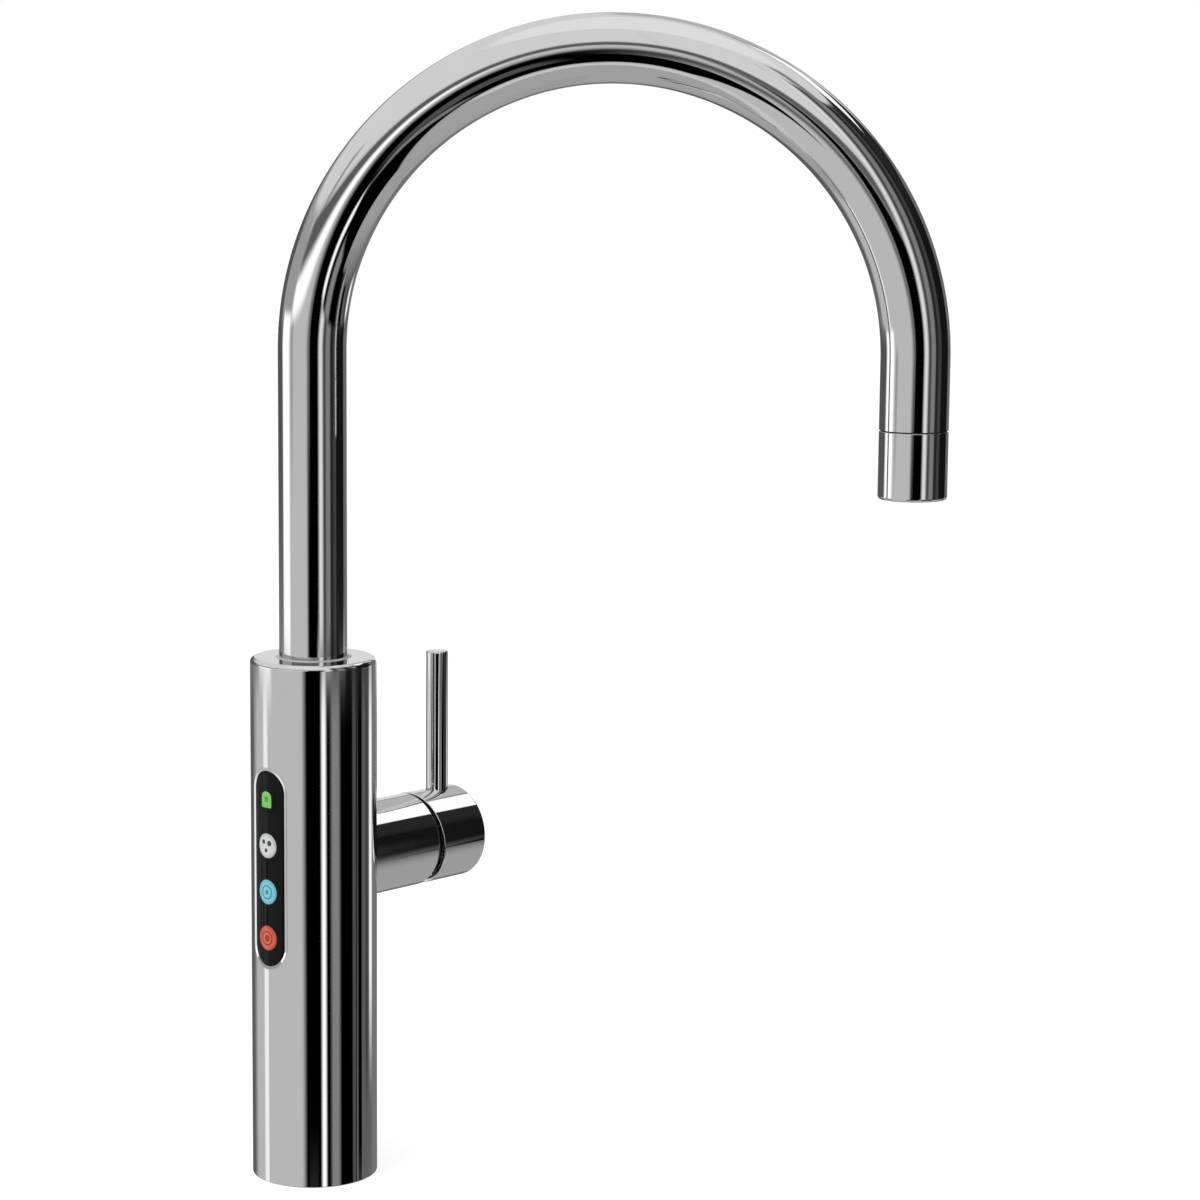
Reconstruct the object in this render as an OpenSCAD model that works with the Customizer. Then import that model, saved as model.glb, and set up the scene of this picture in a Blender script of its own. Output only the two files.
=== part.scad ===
// Boiling water tap: gooseneck spout, side mixer lever and a panel of four keys.
// Origin: centre of the column's foot, on the worktop's surface.
// +Z is up, and the spout at rest reaches along +X. All sizes are in millimetres.

/* [Column] */
// Outer diameter of the column
column_d = 50; // [48:0.5:60]
// Height of the column above the worktop
column_h = 210; // [206:1:250]
// Wall of the chromed column shell
shell_wall = 2; // [1.5:0.1:2.5]
// Thickness of the shell's top
shell_top = 3; // [2.5:0.1:4]
// Radius of the rounded edge round the shell's top
top_round = 2; // [0.5:0.1:2.4]
// Thickness of the plate that closes the shell's foot
foot_plate_t = 6; // [4:0.5:10]
// Thickness of the gasket between the foot plate and the worktop
foot_gasket_t = 1.5; // [1:0.1:3]

/* [Fixing under the worktop] */
// Outer diameter of the threaded shank
shank_d = 33; // [32:0.5:34]
// Wall of the shank
shank_wall = 2.5; // [2:0.1:2.8]
// Length of the shank below the worktop's surface
shank_l = 70; // [60:1:90]
// Pitch of the shank's thread
thread_pitch = 2; // [1.5:0.25:3]
// Depth of the shank's thread
thread_depth = 1; // [0.6:0.1:1.2]
// Plain length of the shank right under the worktop's surface
shank_plain_l = 8; // [2:1:12]
// Thickness of the worktop that the nut is set for
worktop_t = 30; // [10:1:40]
// Outer diameter of the two washers
washer_d = 56; // [54:1:70]
// Thickness of the rubber washer
rubber_washer_t = 3; // [2:0.5:5]
// Thickness of the steel washer
steel_washer_t = 2; // [1.5:0.5:4]
// Width of the shank nut across its flats
nut_af = 46; // [42:1:54]
// Height of the shank nut
nut_h = 10; // [8:1:12]

/* [Spout] */
// Outer diameter of the spout tube
tube_d = 27; // [26.5:0.1:28]
// Wall of the spout tube
tube_wall = 1.5; // [1.2:0.1:1.7]
// Distance from the column's axis to the outlet's axis
reach = 234; // [180:1:280]
// Height of the arch's centre above the worktop
arch_z = 331; // [320:1:400]
// Distance of the outlet's lower edge below the arch's centre
outlet_drop = 54; // [49:1:81]
// Length of the sleeve that closes the outlet
outlet_sleeve_l = 26.4; // [24:0.1:28]
// Height of the joint line between the tube and the outlet sleeve
joint_line = 0.5; // [0.3:0.1:1]
// Length of the sleeve's neck inside the tube
neck_l = 8; // [6:0.5:9]
// Rounded edge round the outlet
outlet_round = 1.3; // [0.4:0.1:1.5]
// Depth of the tube's lower end below the column's top
tube_insert = 22; // [20:1:26]
// Length of the spigot's plug inside the tube
plug_l = 12; // [9:0.5:14]

/* [Aerator] */
// Diameter of the aerator
aerator_d = 21; // [18:0.5:22]
// Height of the aerator
aerator_h = 13; // [10:0.5:15]
// Depth of the aerator inside the outlet's edge
aerator_recess = 0.8; // [0.4:0.1:2]
// Diameter of one hole in the aerator's grid
grid_hole_d = 2.2; // [1.5:0.1:2.6]
// Distance between the holes of the aerator's grid
grid_pitch = 3.4; // [3.2:0.1:3.8]

/* [Waterways] */
// Outer diameter of the mixed water tube in the spout
mixed_tube_d = 9; // [8:0.5:9]
// Outer diameter of the boiling water tube in the spout
boiling_tube_d = 7; // [6:0.5:7.5]
// Outer diameter of the filtered water tube in the spout
filtered_tube_d = 6; // [5:0.5:6.5]
// Wall of the tubes in the spout
water_tube_wall = 1; // [0.8:0.1:1.2]
// Diameter of the threaded hot and cold inlets, at the thread's crests
inlet_d = 9; // [8:0.5:9.5]
// Diameter of the push-in boiling and filtered inlets
filtered_inlet_d = 8; // [6:0.5:8.5]
// Depth of the inlets
inlet_depth = 12; // [10:0.5:16]
// Distance of the inlets from the column's axis
inlet_ring = 8.6; // [8.3:0.1:8.8]
// Diameter of the hot and cold waterways
main_way_d = 6; // [5:0.5:6.5]
// Diameter of the boiling and filtered waterways
side_way_d = 4; // [3:0.5:4.5]

/* [Swivel] */
// Swing of the spout to each side of straight ahead
swivel_half = 75; // [45:5:90]
// Diameter of the barrel that turns in the valve core
barrel_d = 24; // [23:0.5:24.5]
// Height of the collar under the tube
collar_h = 6; // [5.4:0.1:8]
// Radial thickness of the bearing bushes
bush_t = 1.2; // [1:0.1:1.5]
// Height of the upper bush
upper_bush_h = 12; // [8:0.5:13]
// Height of the upper bush above the column's top
bush_proud = 0.2; // [0.1:0.1:1]
// Height of the lower bush's sleeve
lower_bush_h = 6; // [4:0.5:7]
// Thickness of the lower bush's flange
thrust_t = 1.5; // [1:0.1:2]
// Section of the spigot's sealing rings
ring_t = 2; // [1.5:0.1:2.2]
// Height of each water groove round the barrel
channel_h = 3; // [2.5:0.1:3.5]
// Land beside each groove
land = 1.2; // [1:0.1:1.5]
// Diameter of the stop screw
stop_d = 4; // [3:0.5:4.5]

/* [Side valve] */
// Direction of the valve, in degrees from the spout at rest
lever_az = 52; // [40:1:70]
// Distance of the valve's axis below the column's top
valve_drop = 82; // [80:1:86]
// Diameter of the side sleeve and of the lever hub
valve_d = 38; // [37:0.5:42]
// Length of the side sleeve past the column
sleeve_out = 26.7; // [26:0.1:36]
// Wall of the side sleeve
sleeve_wall = 1.8; // [1.4:0.1:2]
// Inward lip at the sleeve's outer end
sleeve_lip = 1.6; // [1:0.1:1.8]
// Diameter of the housing's root inside the valve core
root_d = 30; // [28:0.5:30.5]
// Diameter of the cartridge
cartridge_d = 25; // [24.5:0.1:25.4]
// Thickness of the retaining nut's flange
cap_nut_t = 1; // [0.8:0.1:1.2]
// Step from the sleeve's surface down to the retaining nut's edge
cap_nut_inset = 0.7; // [0.5:0.1:2]

/* [Lever] */
// Gap between sleeve and hub at the top
gap_top = 1.5; // [1.4:0.1:2.5]
// Gap between sleeve and hub at the bottom, where the tilted hub swings in
gap_bottom = 4.4; // [3.6:0.1:5]
// Length of the hub
hub_l = 25.1; // [24:0.1:32]
// Wall of the hub's skirt
hub_wall = 1.6; // [1.2:0.1:1.8]
// Rounded edge at the hub's outer end
hub_round = 1; // [0.5:0.1:1.5]
// Diameter of the lever's pin
pin_d = 9; // [7:0.5:11]
// Height of the pin's tip above the valve's axis
pin_rise = 76.5; // [50:0.5:100]
// Distance of the pin's axis from the hub's outer end
pin_inset = 9.8; // [8:0.1:10.5]
// Rounded edge at the pin's tip
pin_round = 0.8; // [0.4:0.1:1.2]
// Tilt of the lever from shut to fully open
tilt_max = 18; // [10:1:20]

/* [Key panel] */
// Width of the panel, straight across
panel_w = 19; // [16:0.5:19]
// Height of the panel
panel_h = 81; // [78:1:82]
// Width of the chromed trim round the panel
trim_w = 1.2; // [0.5:0.1:1.2]
// Distance that the trim stands proud of the column
trim_proud = 0.1; // [0.05:0.05:0.3]
// Diameter of the keys
key_d = 10; // [9:0.1:10.5]
// Distance between the keys
key_pitch = 18.6; // [17:0.1:19]
// Distance that the keys stand proud of the panel
key_proud = 0.2; // [0.1:0.05:0.3]
// Travel of a key
key_travel = 0.5; // [0.3:0.05:0.6]
// Thickness of the printed inlays in the keys
icon_t = 0.4; // [0.3:0.05:0.6]
// Width of the lines scored between the keys
score_w = 0.8; // [0.5:0.1:1.2]
// Depth of the electronics behind the column's surface
pocket_depth = 8.4; // [8.2:0.1:9]
// Thickness of the circuit board
board_t = 1.2; // [1:0.1:1.4]
// Diameter of the bore for the cable
cable_way_d = 4.4; // [4:0.1:4.6]

/* [Hidden] */

$fn = 96;
past = 1;          // overshoot of a cutting tool past the face it cuts
snug = 0.05;       // radial clearance of parts fixed to each other
run = 0.08;        // radial running clearance of turning parts
play = 0.2;        // clearance of parts that move past each other
seat_play = 0.3;   // clearance round a soft or loose part

column_r = column_d / 2;
valve_z = column_h - valve_drop;
shell_ir = column_r - shell_wall;
core_r = shell_ir - 2 * snug;
core_top_z = column_h - shell_top;
foot_top_z = foot_gasket_t + foot_plate_t;
core_foot_h = 6;
core_screw_count = 3;
core_screw_d = 4;
core_screw_head_d = 5;
core_screw_head_h = 1.5;
shank_r = shank_d / 2;
core_screw_ring = (shank_r + core_r) / 2;
shank_ir = shank_r - shank_wall;

// the spout and the swivel under it
tube_r = tube_d / 2;
tube_ir = tube_r - tube_wall;
tube_z = column_h - tube_insert;
collar_z = tube_z - collar_h;
barrel_r = barrel_d / 2;
ring_groove_h = ring_t + 2 * play;
ring_groove_r = barrel_r - ring_t + snug;
channel_depth = 1.2;
channel_r = barrel_r - channel_depth;
seal_step = ring_groove_h + channel_h + 2 * land;
seal_count = 3;
seal_l = seal_count * seal_step - channel_h;
barrel_z = collar_z - thrust_t - lower_bush_h - seal_l;
socket_r = barrel_r + run;
barrel_gap = 2;     // room for water under the barrel
socket_z = barrel_z - barrel_gap;
upper_bush_r = tube_r + bush_t;
lower_bush_r = barrel_r + bush_t;
upper_bush_z = column_h + bush_proud - upper_bush_h;
filtered_channel_z = barrel_z + land + ring_groove_h + land + channel_h / 2;
boiling_channel_z = filtered_channel_z + seal_step;
stop_z = collar_z + collar_h / 2;
stop_r = stop_d / 2;
stop_slot_depth = 3;
stop_slot_r = tube_r - stop_slot_depth;
stop_recess = 0.5;  // depth of the stop screw below the column's surface
stop_az = lever_az + 90;
spigot_top_z = tube_z + plug_l;

// the waters' places across the spout, seen from above with the spout along +X
mixed_at = [-5.3, 0];
boiling_at = [4.4, 5];
filtered_at = [4.6, -5.2];
tube_grip = 6;     // length of a water tube inside the part that holds it

// the outlet
outlet_z = arch_z - outlet_drop;
outlet_joint_z = outlet_z + outlet_sleeve_l;
tube_end_z = outlet_joint_z + joint_line;
neck_top_z = outlet_joint_z + neck_l;
collector_h = 8;
aerator_r = aerator_d / 2;
aerator_z = outlet_z + aerator_recess;
neck_bore_r = 8;
outlet_seal_inset = 0.6;
aerator_wall = 1.5;
aerator_grid_t = 3;
screen_height = 8;
screen_t = 0.6;

// the side valve, by its distance from the column's axis
valve_r = valve_d / 2;
sleeve_end = column_r + sleeve_out;
lip_t = 1;
housing_end = sleeve_end - lip_t;
lip_ir = valve_r - sleeve_wall - sleeve_lip;
nut_play = 1.2;     // clearance of the retaining nut in the sleeve's lip
housing_r = valve_r - sleeve_wall - 2 * snug;
root_r = root_d / 2;
root_depth = 13;
root_in = column_r - root_depth;
housing_gasket_t = 1;
cartridge_r = cartridge_d / 2;
cartridge_depth = 30;
cartridge_in = housing_end - cartridge_depth;
base_t = 4.5;
disc_t = 3;
disc_gap = 0.02;
cartridge_wall = 2;
cavity_r = cartridge_r - cartridge_wall;
fixed_disc_in = cartridge_in + base_t;
moving_disc_in = fixed_disc_in + disc_t + disc_gap;
carrier_in = moving_disc_in + disc_t;
carrier_flange_t = 1.4;
ball_arm = 9;
ball_r = 2;
pivot_height = 23.3; // distance of the lever's pivot from the cartridge's base
pivot_s = cartridge_in + pivot_height;
ball_s = pivot_s - ball_arm;
pocket_lip = 1.5;
carrier_out = ball_s + pocket_lip;
carrier_w = 8;
carrier_l = 12;
disc_travel = ball_arm * tilt_max * PI / 180;
moving_disc_r = cavity_r - disc_travel - play;
rotor_r = cavity_r - run;
rotor_in = carrier_in + carrier_flange_t + play;
rotor_height = 28.8;
rotor_out = cartridge_in + rotor_height;
cartridge_lip_t = 0.9;
cartridge_out = rotor_out + cartridge_lip_t;
cartridge_lip_r = rotor_r - cartridge_wall;
shoulder_height = 21;
shoulder_t = 2.5;
shoulder_in = cartridge_in + shoulder_height;
shoulder_out = shoulder_in + shoulder_t;
shoulder_r = cartridge_r + 1.9;
upper_body_r = cartridge_r - cartridge_wall / 2;
pivot_pin_r = 1.5;
spindle_r = 3.5;
spindle_flat = 6.4;
spindle_slot_l = 2 * (spindle_r + (pivot_s - carrier_out) * sin(tilt_max) + play);
neck_r = 1.2;
port_y = inlet_ring * sin(45);
port_low = -3.5;
port_high = 6;
port_step = 0.5;
port_r = main_way_d / 2 - port_step;
port_seal_w = 1.4;
port_seal_r = port_r + port_seal_w;
port_seal_t = 1.5;

// the lever
rim_top = sleeve_end + gap_top;
rim_tilt = atan((gap_bottom - gap_top) / valve_d);
hub_end = rim_top + hub_l;
hub_solid_l = 18;   // solid end of the hub, which holds the spindle and the pin
hub_web = hub_end - hub_solid_l;
hub_ir = valve_r - hub_wall;
pin_s = hub_end - pin_inset;
pin_r = pin_d / 2;
pin_seat_l = 9;
pin_root = valve_r - pin_seat_l;
spindle_seat_l = 7.2;
spindle_end = hub_web + spindle_seat_l;
hub_screw_s = hub_web + spindle_seat_l / 2;
hub_screw_r = 2.5;
hub_screw_l = 8;

// the key panel
panel_az = lever_az + 180;
panel_z = valve_z;
cover_lap = 1.5;
cover_r = shell_ir - 2 * snug;
cover_t = 1.2;
cover_ir = cover_r - cover_t;
cover_w = panel_w - 2 * (trim_w + snug);
cover_h = panel_h - 2 * (trim_w + snug);
lap_w = panel_w + 2 * cover_lap;
lap_h = panel_h + 2 * cover_lap;
pocket_x = column_r - pocket_depth;
pocket_margin = 1;
pocket_h = lap_h + 2 * pocket_margin;
pocket_floor_t = 3.5;
head_z = panel_z - pocket_h / 2 - pocket_floor_t;
stem_wall = 1.6;
stem_r = inlet_ring + inlet_d / 2 + stem_wall;
key_r = key_d / 2;
key_rim = 0.8;
key_flange_t = 0.8;
key_flange_r = key_r + key_rim;
key_flange_x = sqrt(pow(cover_ir, 2) - pow(key_flange_r, 2)) - play - key_flange_t;
key_z = [for (i = [0:3]) panel_z + (1.5 - i) * key_pitch];
board_w = 18;
board_margin = 1;
board_h = panel_h - 2 * board_margin;
board_x = pocket_x;
switch_w = 4;
switch_t = 0.8;
mat_x = board_x + board_t + switch_t + snug;
mat_t = key_flange_x - key_travel - play - mat_x;
mat_w = board_w - board_margin;
mat_h = 3 * key_pitch + key_d;
board_screw_y = 6;
board_screw_edge = 2.5;
board_screw_z = board_h / 2 - board_screw_edge;
board_screw_r = 1;
board_screw_head_r = 1.9;
board_screw_head_h = 1.2;
board_screw_l = 4.5;
board_screw_hole_l = 5;
cable_way_r = cable_way_d / 2;
cable_drop = 33;    // the cable's way turns in this far below the panel's middle
cable_way_z = panel_z - cable_drop;
cable_r = 1.75;
grommet_r = cable_way_r + 0.8;
grommet_h = 3;
grommet_lip = 1;

// the waterways in the valve core
inlet_az = 45;
side_way_ring = 17.5;
side_way_wall = 0.5;
side_way_turn_z = valve_z + root_r + side_way_d / 2 + side_way_wall;

chrome = [0.80, 0.81, 0.83];
brass = [0.80, 0.66, 0.36];
steel = [0.62, 0.63, 0.65];
rubber = [0.10, 0.10, 0.11];
dark_plastic = [0.16, 0.16, 0.17];
white_plastic = [0.88, 0.88, 0.86];
ceramic = [0.93, 0.93, 0.90];
gloss_black = [0.05, 0.05, 0.06];

// A plain ring from height z0 to z1
module ring(r_in, r_out, z0, z1) {
    difference() {
        translate([0, 0, z0]) cylinder(r = r_out, h = z1 - z0);
        translate([0, 0, z0 - past]) cylinder(r = r_in, h = z1 - z0 + 2 * past);
    }
}

// A hole or rod from height z0 to z1, at a place across
module rod(r, z0, z1, at = [0, 0]) {
    translate([at[0], at[1], z0]) cylinder(r = r, h = z1 - z0);
}

// The side valve's own axes: X out along the valve, Y across, Z up from its axis
module on_valve() {
    translate([0, 0, valve_z]) rotate([0, 0, lever_az]) children();
}

// The panel's own axes: X out through the panel, Y across, Z from the worktop
module on_panel() {
    rotate([0, 0, panel_az]) children();
}

// A rod along X from x0 to x1
module rod_x(r, x0, x1, y = 0, z = 0) {
    translate([x0, y, z]) rotate([0, 90, 0]) cylinder(r = r, h = x1 - x0);
}

// A ring along X from x0 to x1
module ring_x(r_in, r_out, x0, x1) {
    difference() {
        rod_x(r_out, x0, x1);
        rod_x(r_in, x0 - past, x1 + past);
    }
}

// A slab with round ends, standing up, from x0 to x1 along X
module stadium_x(w, h, x0, x1) {
    translate([x0, 0, panel_z]) rotate([90, 0, 90]) linear_extrude(x1 - x0) {
        square([w, h - w], center = true);
        for (side = [-1, 1]) translate([0, side * (h - w) / 2]) circle(d = w);
    }
}

// The path of the spout, or of a tube inside it, from its riser's foot to its end
module gooseneck(r, foot_z, end_z, at = [0, 0]) {
    arch_r = reach / 2 - at[0];
    rod(r, foot_z, arch_z, at);
    translate([reach / 2, at[1], arch_z]) rotate([90, 0, 0])
        rotate_extrude(angle = 180) translate([arch_r, 0]) circle(r = r);
    rod(r, end_z, arch_z, [reach - at[0], at[1]]);
}

// ---- column ----

module shell_outline(r, h, edge) {
    square([r - edge, h]);
    square([r, h - edge]);
    translate([r - edge, h - edge]) circle(r = edge);
}

module column_shell() {
    color(chrome) difference() {
        rotate_extrude() intersection() {
            shell_outline(column_r, column_h, top_round);
            square([column_r, column_h]);
        }
        rod(shell_ir, -past, core_top_z);
        rod(upper_bush_r + snug, core_top_z - past, column_h + past);
        on_panel() stadium_x(panel_w + 2 * snug, panel_h + 2 * snug, 0, column_r + past);
        on_valve() rod_x(root_r + snug, 0, column_r + past);
        translate([0, 0, stop_z]) rotate([0, 0, stop_az])
            rod_x(stop_r + snug, 0, column_r + past);
    }
}

module foot_plate() {
    color(steel) difference() {
        ring(shank_r + snug, shell_ir - snug, foot_gasket_t, foot_top_z);
        at_core_screws() {
            rod(core_screw_d / 2 + snug, 0, foot_top_z + past);
            rod(core_screw_head_d / 2 + snug, 0, foot_gasket_t + core_screw_head_h);
        }
    }
}

module foot_gasket() {
    color(rubber) ring(shank_r + snug, shell_ir - snug, 0, foot_gasket_t);
}

// the thread is a row of plain V grooves, as deep and as far apart as a real thread's turns
module deck_shank() {
    turns = floor((shank_l - shank_plain_l) / thread_pitch);
    thread = [for (i = [0:turns - 1], side = [0, 1])
        [shank_r - side * thread_depth, (i + side / 2) * thread_pitch - shank_l]];
    color(brass) rotate_extrude() polygon(concat(thread, [
        [shank_r, turns * thread_pitch - shank_l], [shank_r, foot_top_z],
        [shank_ir, foot_top_z], [shank_ir, -shank_l]
    ]));
}

module rubber_washer() {
    color(rubber)
        ring(shank_r + seat_play, washer_d / 2, -worktop_t - rubber_washer_t, -worktop_t);
}

module steel_washer() {
    top = -worktop_t - rubber_washer_t;
    color(steel) ring(shank_r + play, washer_d / 2, top - steel_washer_t, top);
}

module shank_nut() {
    top = -worktop_t - rubber_washer_t - steel_washer_t;
    color(brass) difference() {
        translate([0, 0, top - nut_h]) cylinder(d = nut_af / cos(30), h = nut_h, $fn = 6);
        rod(shank_r + snug, top - nut_h - past, top + past);
    }
}

// ---- valve core ----

module at_core_screws() {
    for (i = [0:core_screw_count - 1])
        rotate([0, 0, (i + 0.5) * 360 / core_screw_count])
            translate([core_screw_ring, 0, 0]) children();
}

module core_screws() {
    color(steel) at_core_screws() {
        rod(core_screw_head_d / 2, foot_gasket_t, foot_gasket_t + core_screw_head_h);
        rod(core_screw_d / 2, foot_gasket_t, foot_top_z + core_foot_h - past);
    }
}

// The places of the four inlets, from the valve's axes: 1 and -1 choose the quarter
function inlet_at(out, across) = [out * inlet_ring * cos(inlet_az),
    across * inlet_ring * sin(inlet_az)];

// Hot and cold: up from a threaded inlet, then out to the cartridge
module main_way(across) {
    at = inlet_at(1, across);
    rod(inlet_d / 2, foot_top_z - past, foot_top_z + inlet_depth, at);
    rod(main_way_d / 2, foot_top_z, valve_z + port_low, at);
    translate([0, 0, valve_z]) {
        rod_x(port_r, at[0], column_r, at[1], port_low);
        translate([at[0], at[1], port_low]) sphere(r = main_way_d / 2);
    }
}

// Boiling and filtered: up, out past the swivel, up beside it and in to its groove
module side_way(across, channel_z) {
    at = inlet_at(-1, across);
    rod(filtered_inlet_d / 2, foot_top_z - past, foot_top_z + inlet_depth, at);
    rod(side_way_d / 2, foot_top_z, side_way_turn_z, at);
    rotate([0, 0, across * (180 - inlet_az)]) {
        rod_x(side_way_d / 2, inlet_ring, side_way_ring, 0, side_way_turn_z);
        rod(side_way_d / 2, side_way_turn_z, channel_z, [side_way_ring, 0]);
        rod_x(side_way_d / 2 - 0.5, barrel_r - past, side_way_ring, 0, channel_z);
    }
}

module mixed_way() {
    outlet_s = 4;
    rod(port_r, valve_z + port_high, socket_z + past, [outlet_s, 0]);
    rod_x(port_r, outlet_s, column_r, 0, valve_z + port_high);
}

module swivel_socket() {
    rod(socket_r, socket_z, core_top_z + past);
    rod(lower_bush_r + snug, collar_z - thrust_t - lower_bush_h, core_top_z + past);
    rod(tube_r + seat_play, collar_z - thrust_t, core_top_z + past);
    rod(upper_bush_r + snug, upper_bush_z, core_top_z + past);
}

module valve_core() {
    color(brass) difference() {
        union() {
            rod(core_r, foot_top_z, foot_top_z + core_foot_h);
            rod(stem_r, foot_top_z, head_z + past);
            rod(core_r, head_z, core_top_z);
        }
        at_core_screws()
            rod(core_screw_d / 2 + snug, foot_top_z - past, foot_top_z + core_foot_h + past);
        swivel_socket();
        translate([0, 0, stop_z]) rotate([0, 0, stop_az])
            rod_x(stop_r + snug, 0, column_r);
        rotate([0, 0, lever_az]) {
            main_way(1);
            main_way(-1);
            side_way(1, filtered_channel_z);
            side_way(-1, boiling_channel_z);
            mixed_way();
            rod_x(root_r + snug, root_in - housing_gasket_t, column_r, 0, valve_z);
            rod(cable_way_r, foot_top_z - past, cable_way_z);
            rod(grommet_r, foot_top_z - past, foot_top_z + grommet_h);
        }
        on_panel() {
            translate([pocket_x, -column_r, panel_z - pocket_h / 2])
                cube([column_r, column_d, pocket_h]);
            rod_x(cable_way_r, 0, column_r, 0, cable_way_z);
            at_board_screws() rod_x(board_screw_r, pocket_x - board_screw_hole_l, column_r);
        }
    }
}

module cable_grommet() {
    color(rubber) {
        ring(cable_r, grommet_r - snug, foot_top_z, foot_top_z + grommet_h);
        ring(cable_r, grommet_r + grommet_lip / 2, foot_top_z - grommet_lip, foot_top_z);
    }
}

// ---- side valve: what stays still ----

// The three ports between the core and the cartridge
module at_ports() {
    for (side = [-1, 1]) translate([0, side * port_y, port_low]) children();
    translate([0, 0, port_high]) children();
}

module housing_gasket() {
    color(rubber) on_valve() difference() {
        rod_x(root_r - seat_play, root_in - housing_gasket_t, root_in);
        at_ports() rod_x(port_r, 0, column_r);
    }
}

module cartridge_housing() {
    color(brass) on_valve() difference() {
        union() {
            rod_x(root_r, root_in, column_r + 2);
            difference() {
                rod_x(housing_r, 0, housing_end);
                translate([0, 0, -column_h]) cylinder(r = column_r + snug, h = 2 * column_h);
            }
        }
        rod_x(cartridge_r + snug, cartridge_in, housing_end + past);
        rod_x(shoulder_r + snug, shoulder_in, housing_end + past);
        at_ports() rod_x(port_r, 0, cartridge_in + past);
    }
}

module side_sleeve() {
    color(chrome) on_valve() difference() {
        rod_x(valve_r, 0, sleeve_end);
        rod_x(valve_r - sleeve_wall, -past, housing_end);
        rod_x(lip_ir, 0, sleeve_end + past);
        translate([0, 0, -column_h]) cylinder(r = column_r + snug, h = 2 * column_h);
    }
}

module cartridge_body() {
    color(white_plastic) on_valve() difference() {
        union() {
            rod_x(cartridge_r, cartridge_in, shoulder_out);
            rod_x(shoulder_r, shoulder_in, shoulder_out);
            rod_x(upper_body_r, cartridge_in, cartridge_out);
        }
        rod_x(cavity_r, fixed_disc_in, rotor_out + play);
        rod_x(cartridge_lip_r, fixed_disc_in, cartridge_out + past);
        at_ports() {
            rod_x(port_r, 0, column_r + sleeve_out / 2);
            rod_x(port_seal_r, 0, cartridge_in + port_seal_t);
        }
    }
}

module port_seals() {
    color(rubber) on_valve() at_ports()
        ring_x(port_r, port_seal_r - snug, cartridge_in, cartridge_in + port_seal_t);
}

module fixed_disc() {
    color(ceramic) on_valve() difference() {
        rod_x(cavity_r - snug, fixed_disc_in, fixed_disc_in + disc_t);
        at_ports() rod_x(port_r, 0, fixed_disc_in + disc_t + past);
    }
}

module cartridge_nut() {
    slot_w = 4;
    color(dark_plastic) on_valve() difference() {
        union() {
            rod_x(shoulder_r, shoulder_out, housing_end);
            rod_x(lip_ir - nut_play, housing_end, sleeve_end);
            rod_x(valve_r - cap_nut_inset, sleeve_end, sleeve_end + cap_nut_t);
        }
        rod_x(upper_body_r + snug, shoulder_out - past, sleeve_end + cap_nut_t + past);
        for (turn = [45, 135]) rotate([turn, 0, 0])
            translate([sleeve_end, -slot_w / 2, -valve_r]) cube([valve_r, slot_w, valve_d]);
    }
}

// ---- side valve: what turns and slides ----

module cartridge_rotor() {
    color(dark_plastic) on_valve() difference() {
        rod_x(rotor_r, rotor_in, rotor_out);
        translate([rotor_in - past, -carrier_w / 2 - play / 2, -valve_r])
            cube([carrier_out - rotor_in + play + past, carrier_w + play, valve_d]);
        translate([rotor_in - past, -spindle_flat / 2 - play / 2, -spindle_slot_l / 2])
            cube([rotor_out - rotor_in + 2 * past, spindle_flat + play, spindle_slot_l]);
        translate([pivot_s, 0, 0]) rotate([90, 0, 0])
            cylinder(r = pivot_pin_r + snug / 2, h = 2 * valve_r, center = true);
    }
}

module pivot_pin() {
    color(steel) on_valve() translate([pivot_s, 0, 0]) rotate([90, 0, 0])
        cylinder(r = pivot_pin_r, h = 2 * (rotor_r - 1), center = true);
}

module moving_disc() {
    recess_r = 3.2;
    color(ceramic) on_valve() difference() {
        rod_x(moving_disc_r, moving_disc_in, moving_disc_in + disc_t);
        rod_x(recess_r, moving_disc_in - past, moving_disc_in + disc_t / 2);
    }
}

module disc_carrier() {
    pocket_r = ball_r + 0.1;
    color(dark_plastic) on_valve() difference() {
        union() {
            rod_x(moving_disc_r, carrier_in, carrier_in + carrier_flange_t);
            translate([carrier_in, -carrier_w / 2, -carrier_l / 2])
                cube([carrier_out - carrier_in, carrier_w, carrier_l]);
        }
        rod_x(pocket_r, ball_s - ball_r - play, carrier_out + past);
    }
}

// Half the outline of the driver's ball and the neck that carries it
module ball_and_neck() {
    intersection() {
        union() {
            circle(r = ball_r);
            square([neck_r, pivot_s - spindle_r - ball_s]);
        }
        translate([0, -ball_r]) square([ball_r, ball_arm]);
    }
}

module lever_spindle() {
    color(steel) on_valve() difference() {
        union() {
            translate([ball_s, 0, 0]) rotate([0, 90, 0]) rotate_extrude() ball_and_neck();
            intersection() {
                rod_x(spindle_r, pivot_s - spindle_r - 2, spindle_end);
                translate([0, -spindle_flat / 2, -valve_r])
                    cube([hub_end, spindle_flat, valve_d]);
            }
        }
        translate([pivot_s, 0, 0]) rotate([90, 0, 0])
            cylinder(r = pivot_pin_r + run, h = valve_d, center = true);
    }
}

// ---- lever ----

module hub_outline() {
    square([valve_r - hub_round, hub_end]);
    square([valve_r, hub_end - hub_round]);
    translate([valve_r - hub_round, hub_end - hub_round]) circle(r = hub_round);
}

// Everything on the column's side of the hub's slanted rim
module inside_rim() {
    translate([rim_top, 0, valve_r]) rotate([0, -rim_tilt, 0])
        translate([-2 * hub_end, -valve_d, -2 * valve_d])
            cube([2 * hub_end, 2 * valve_d, 3 * valve_d]);
}

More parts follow.
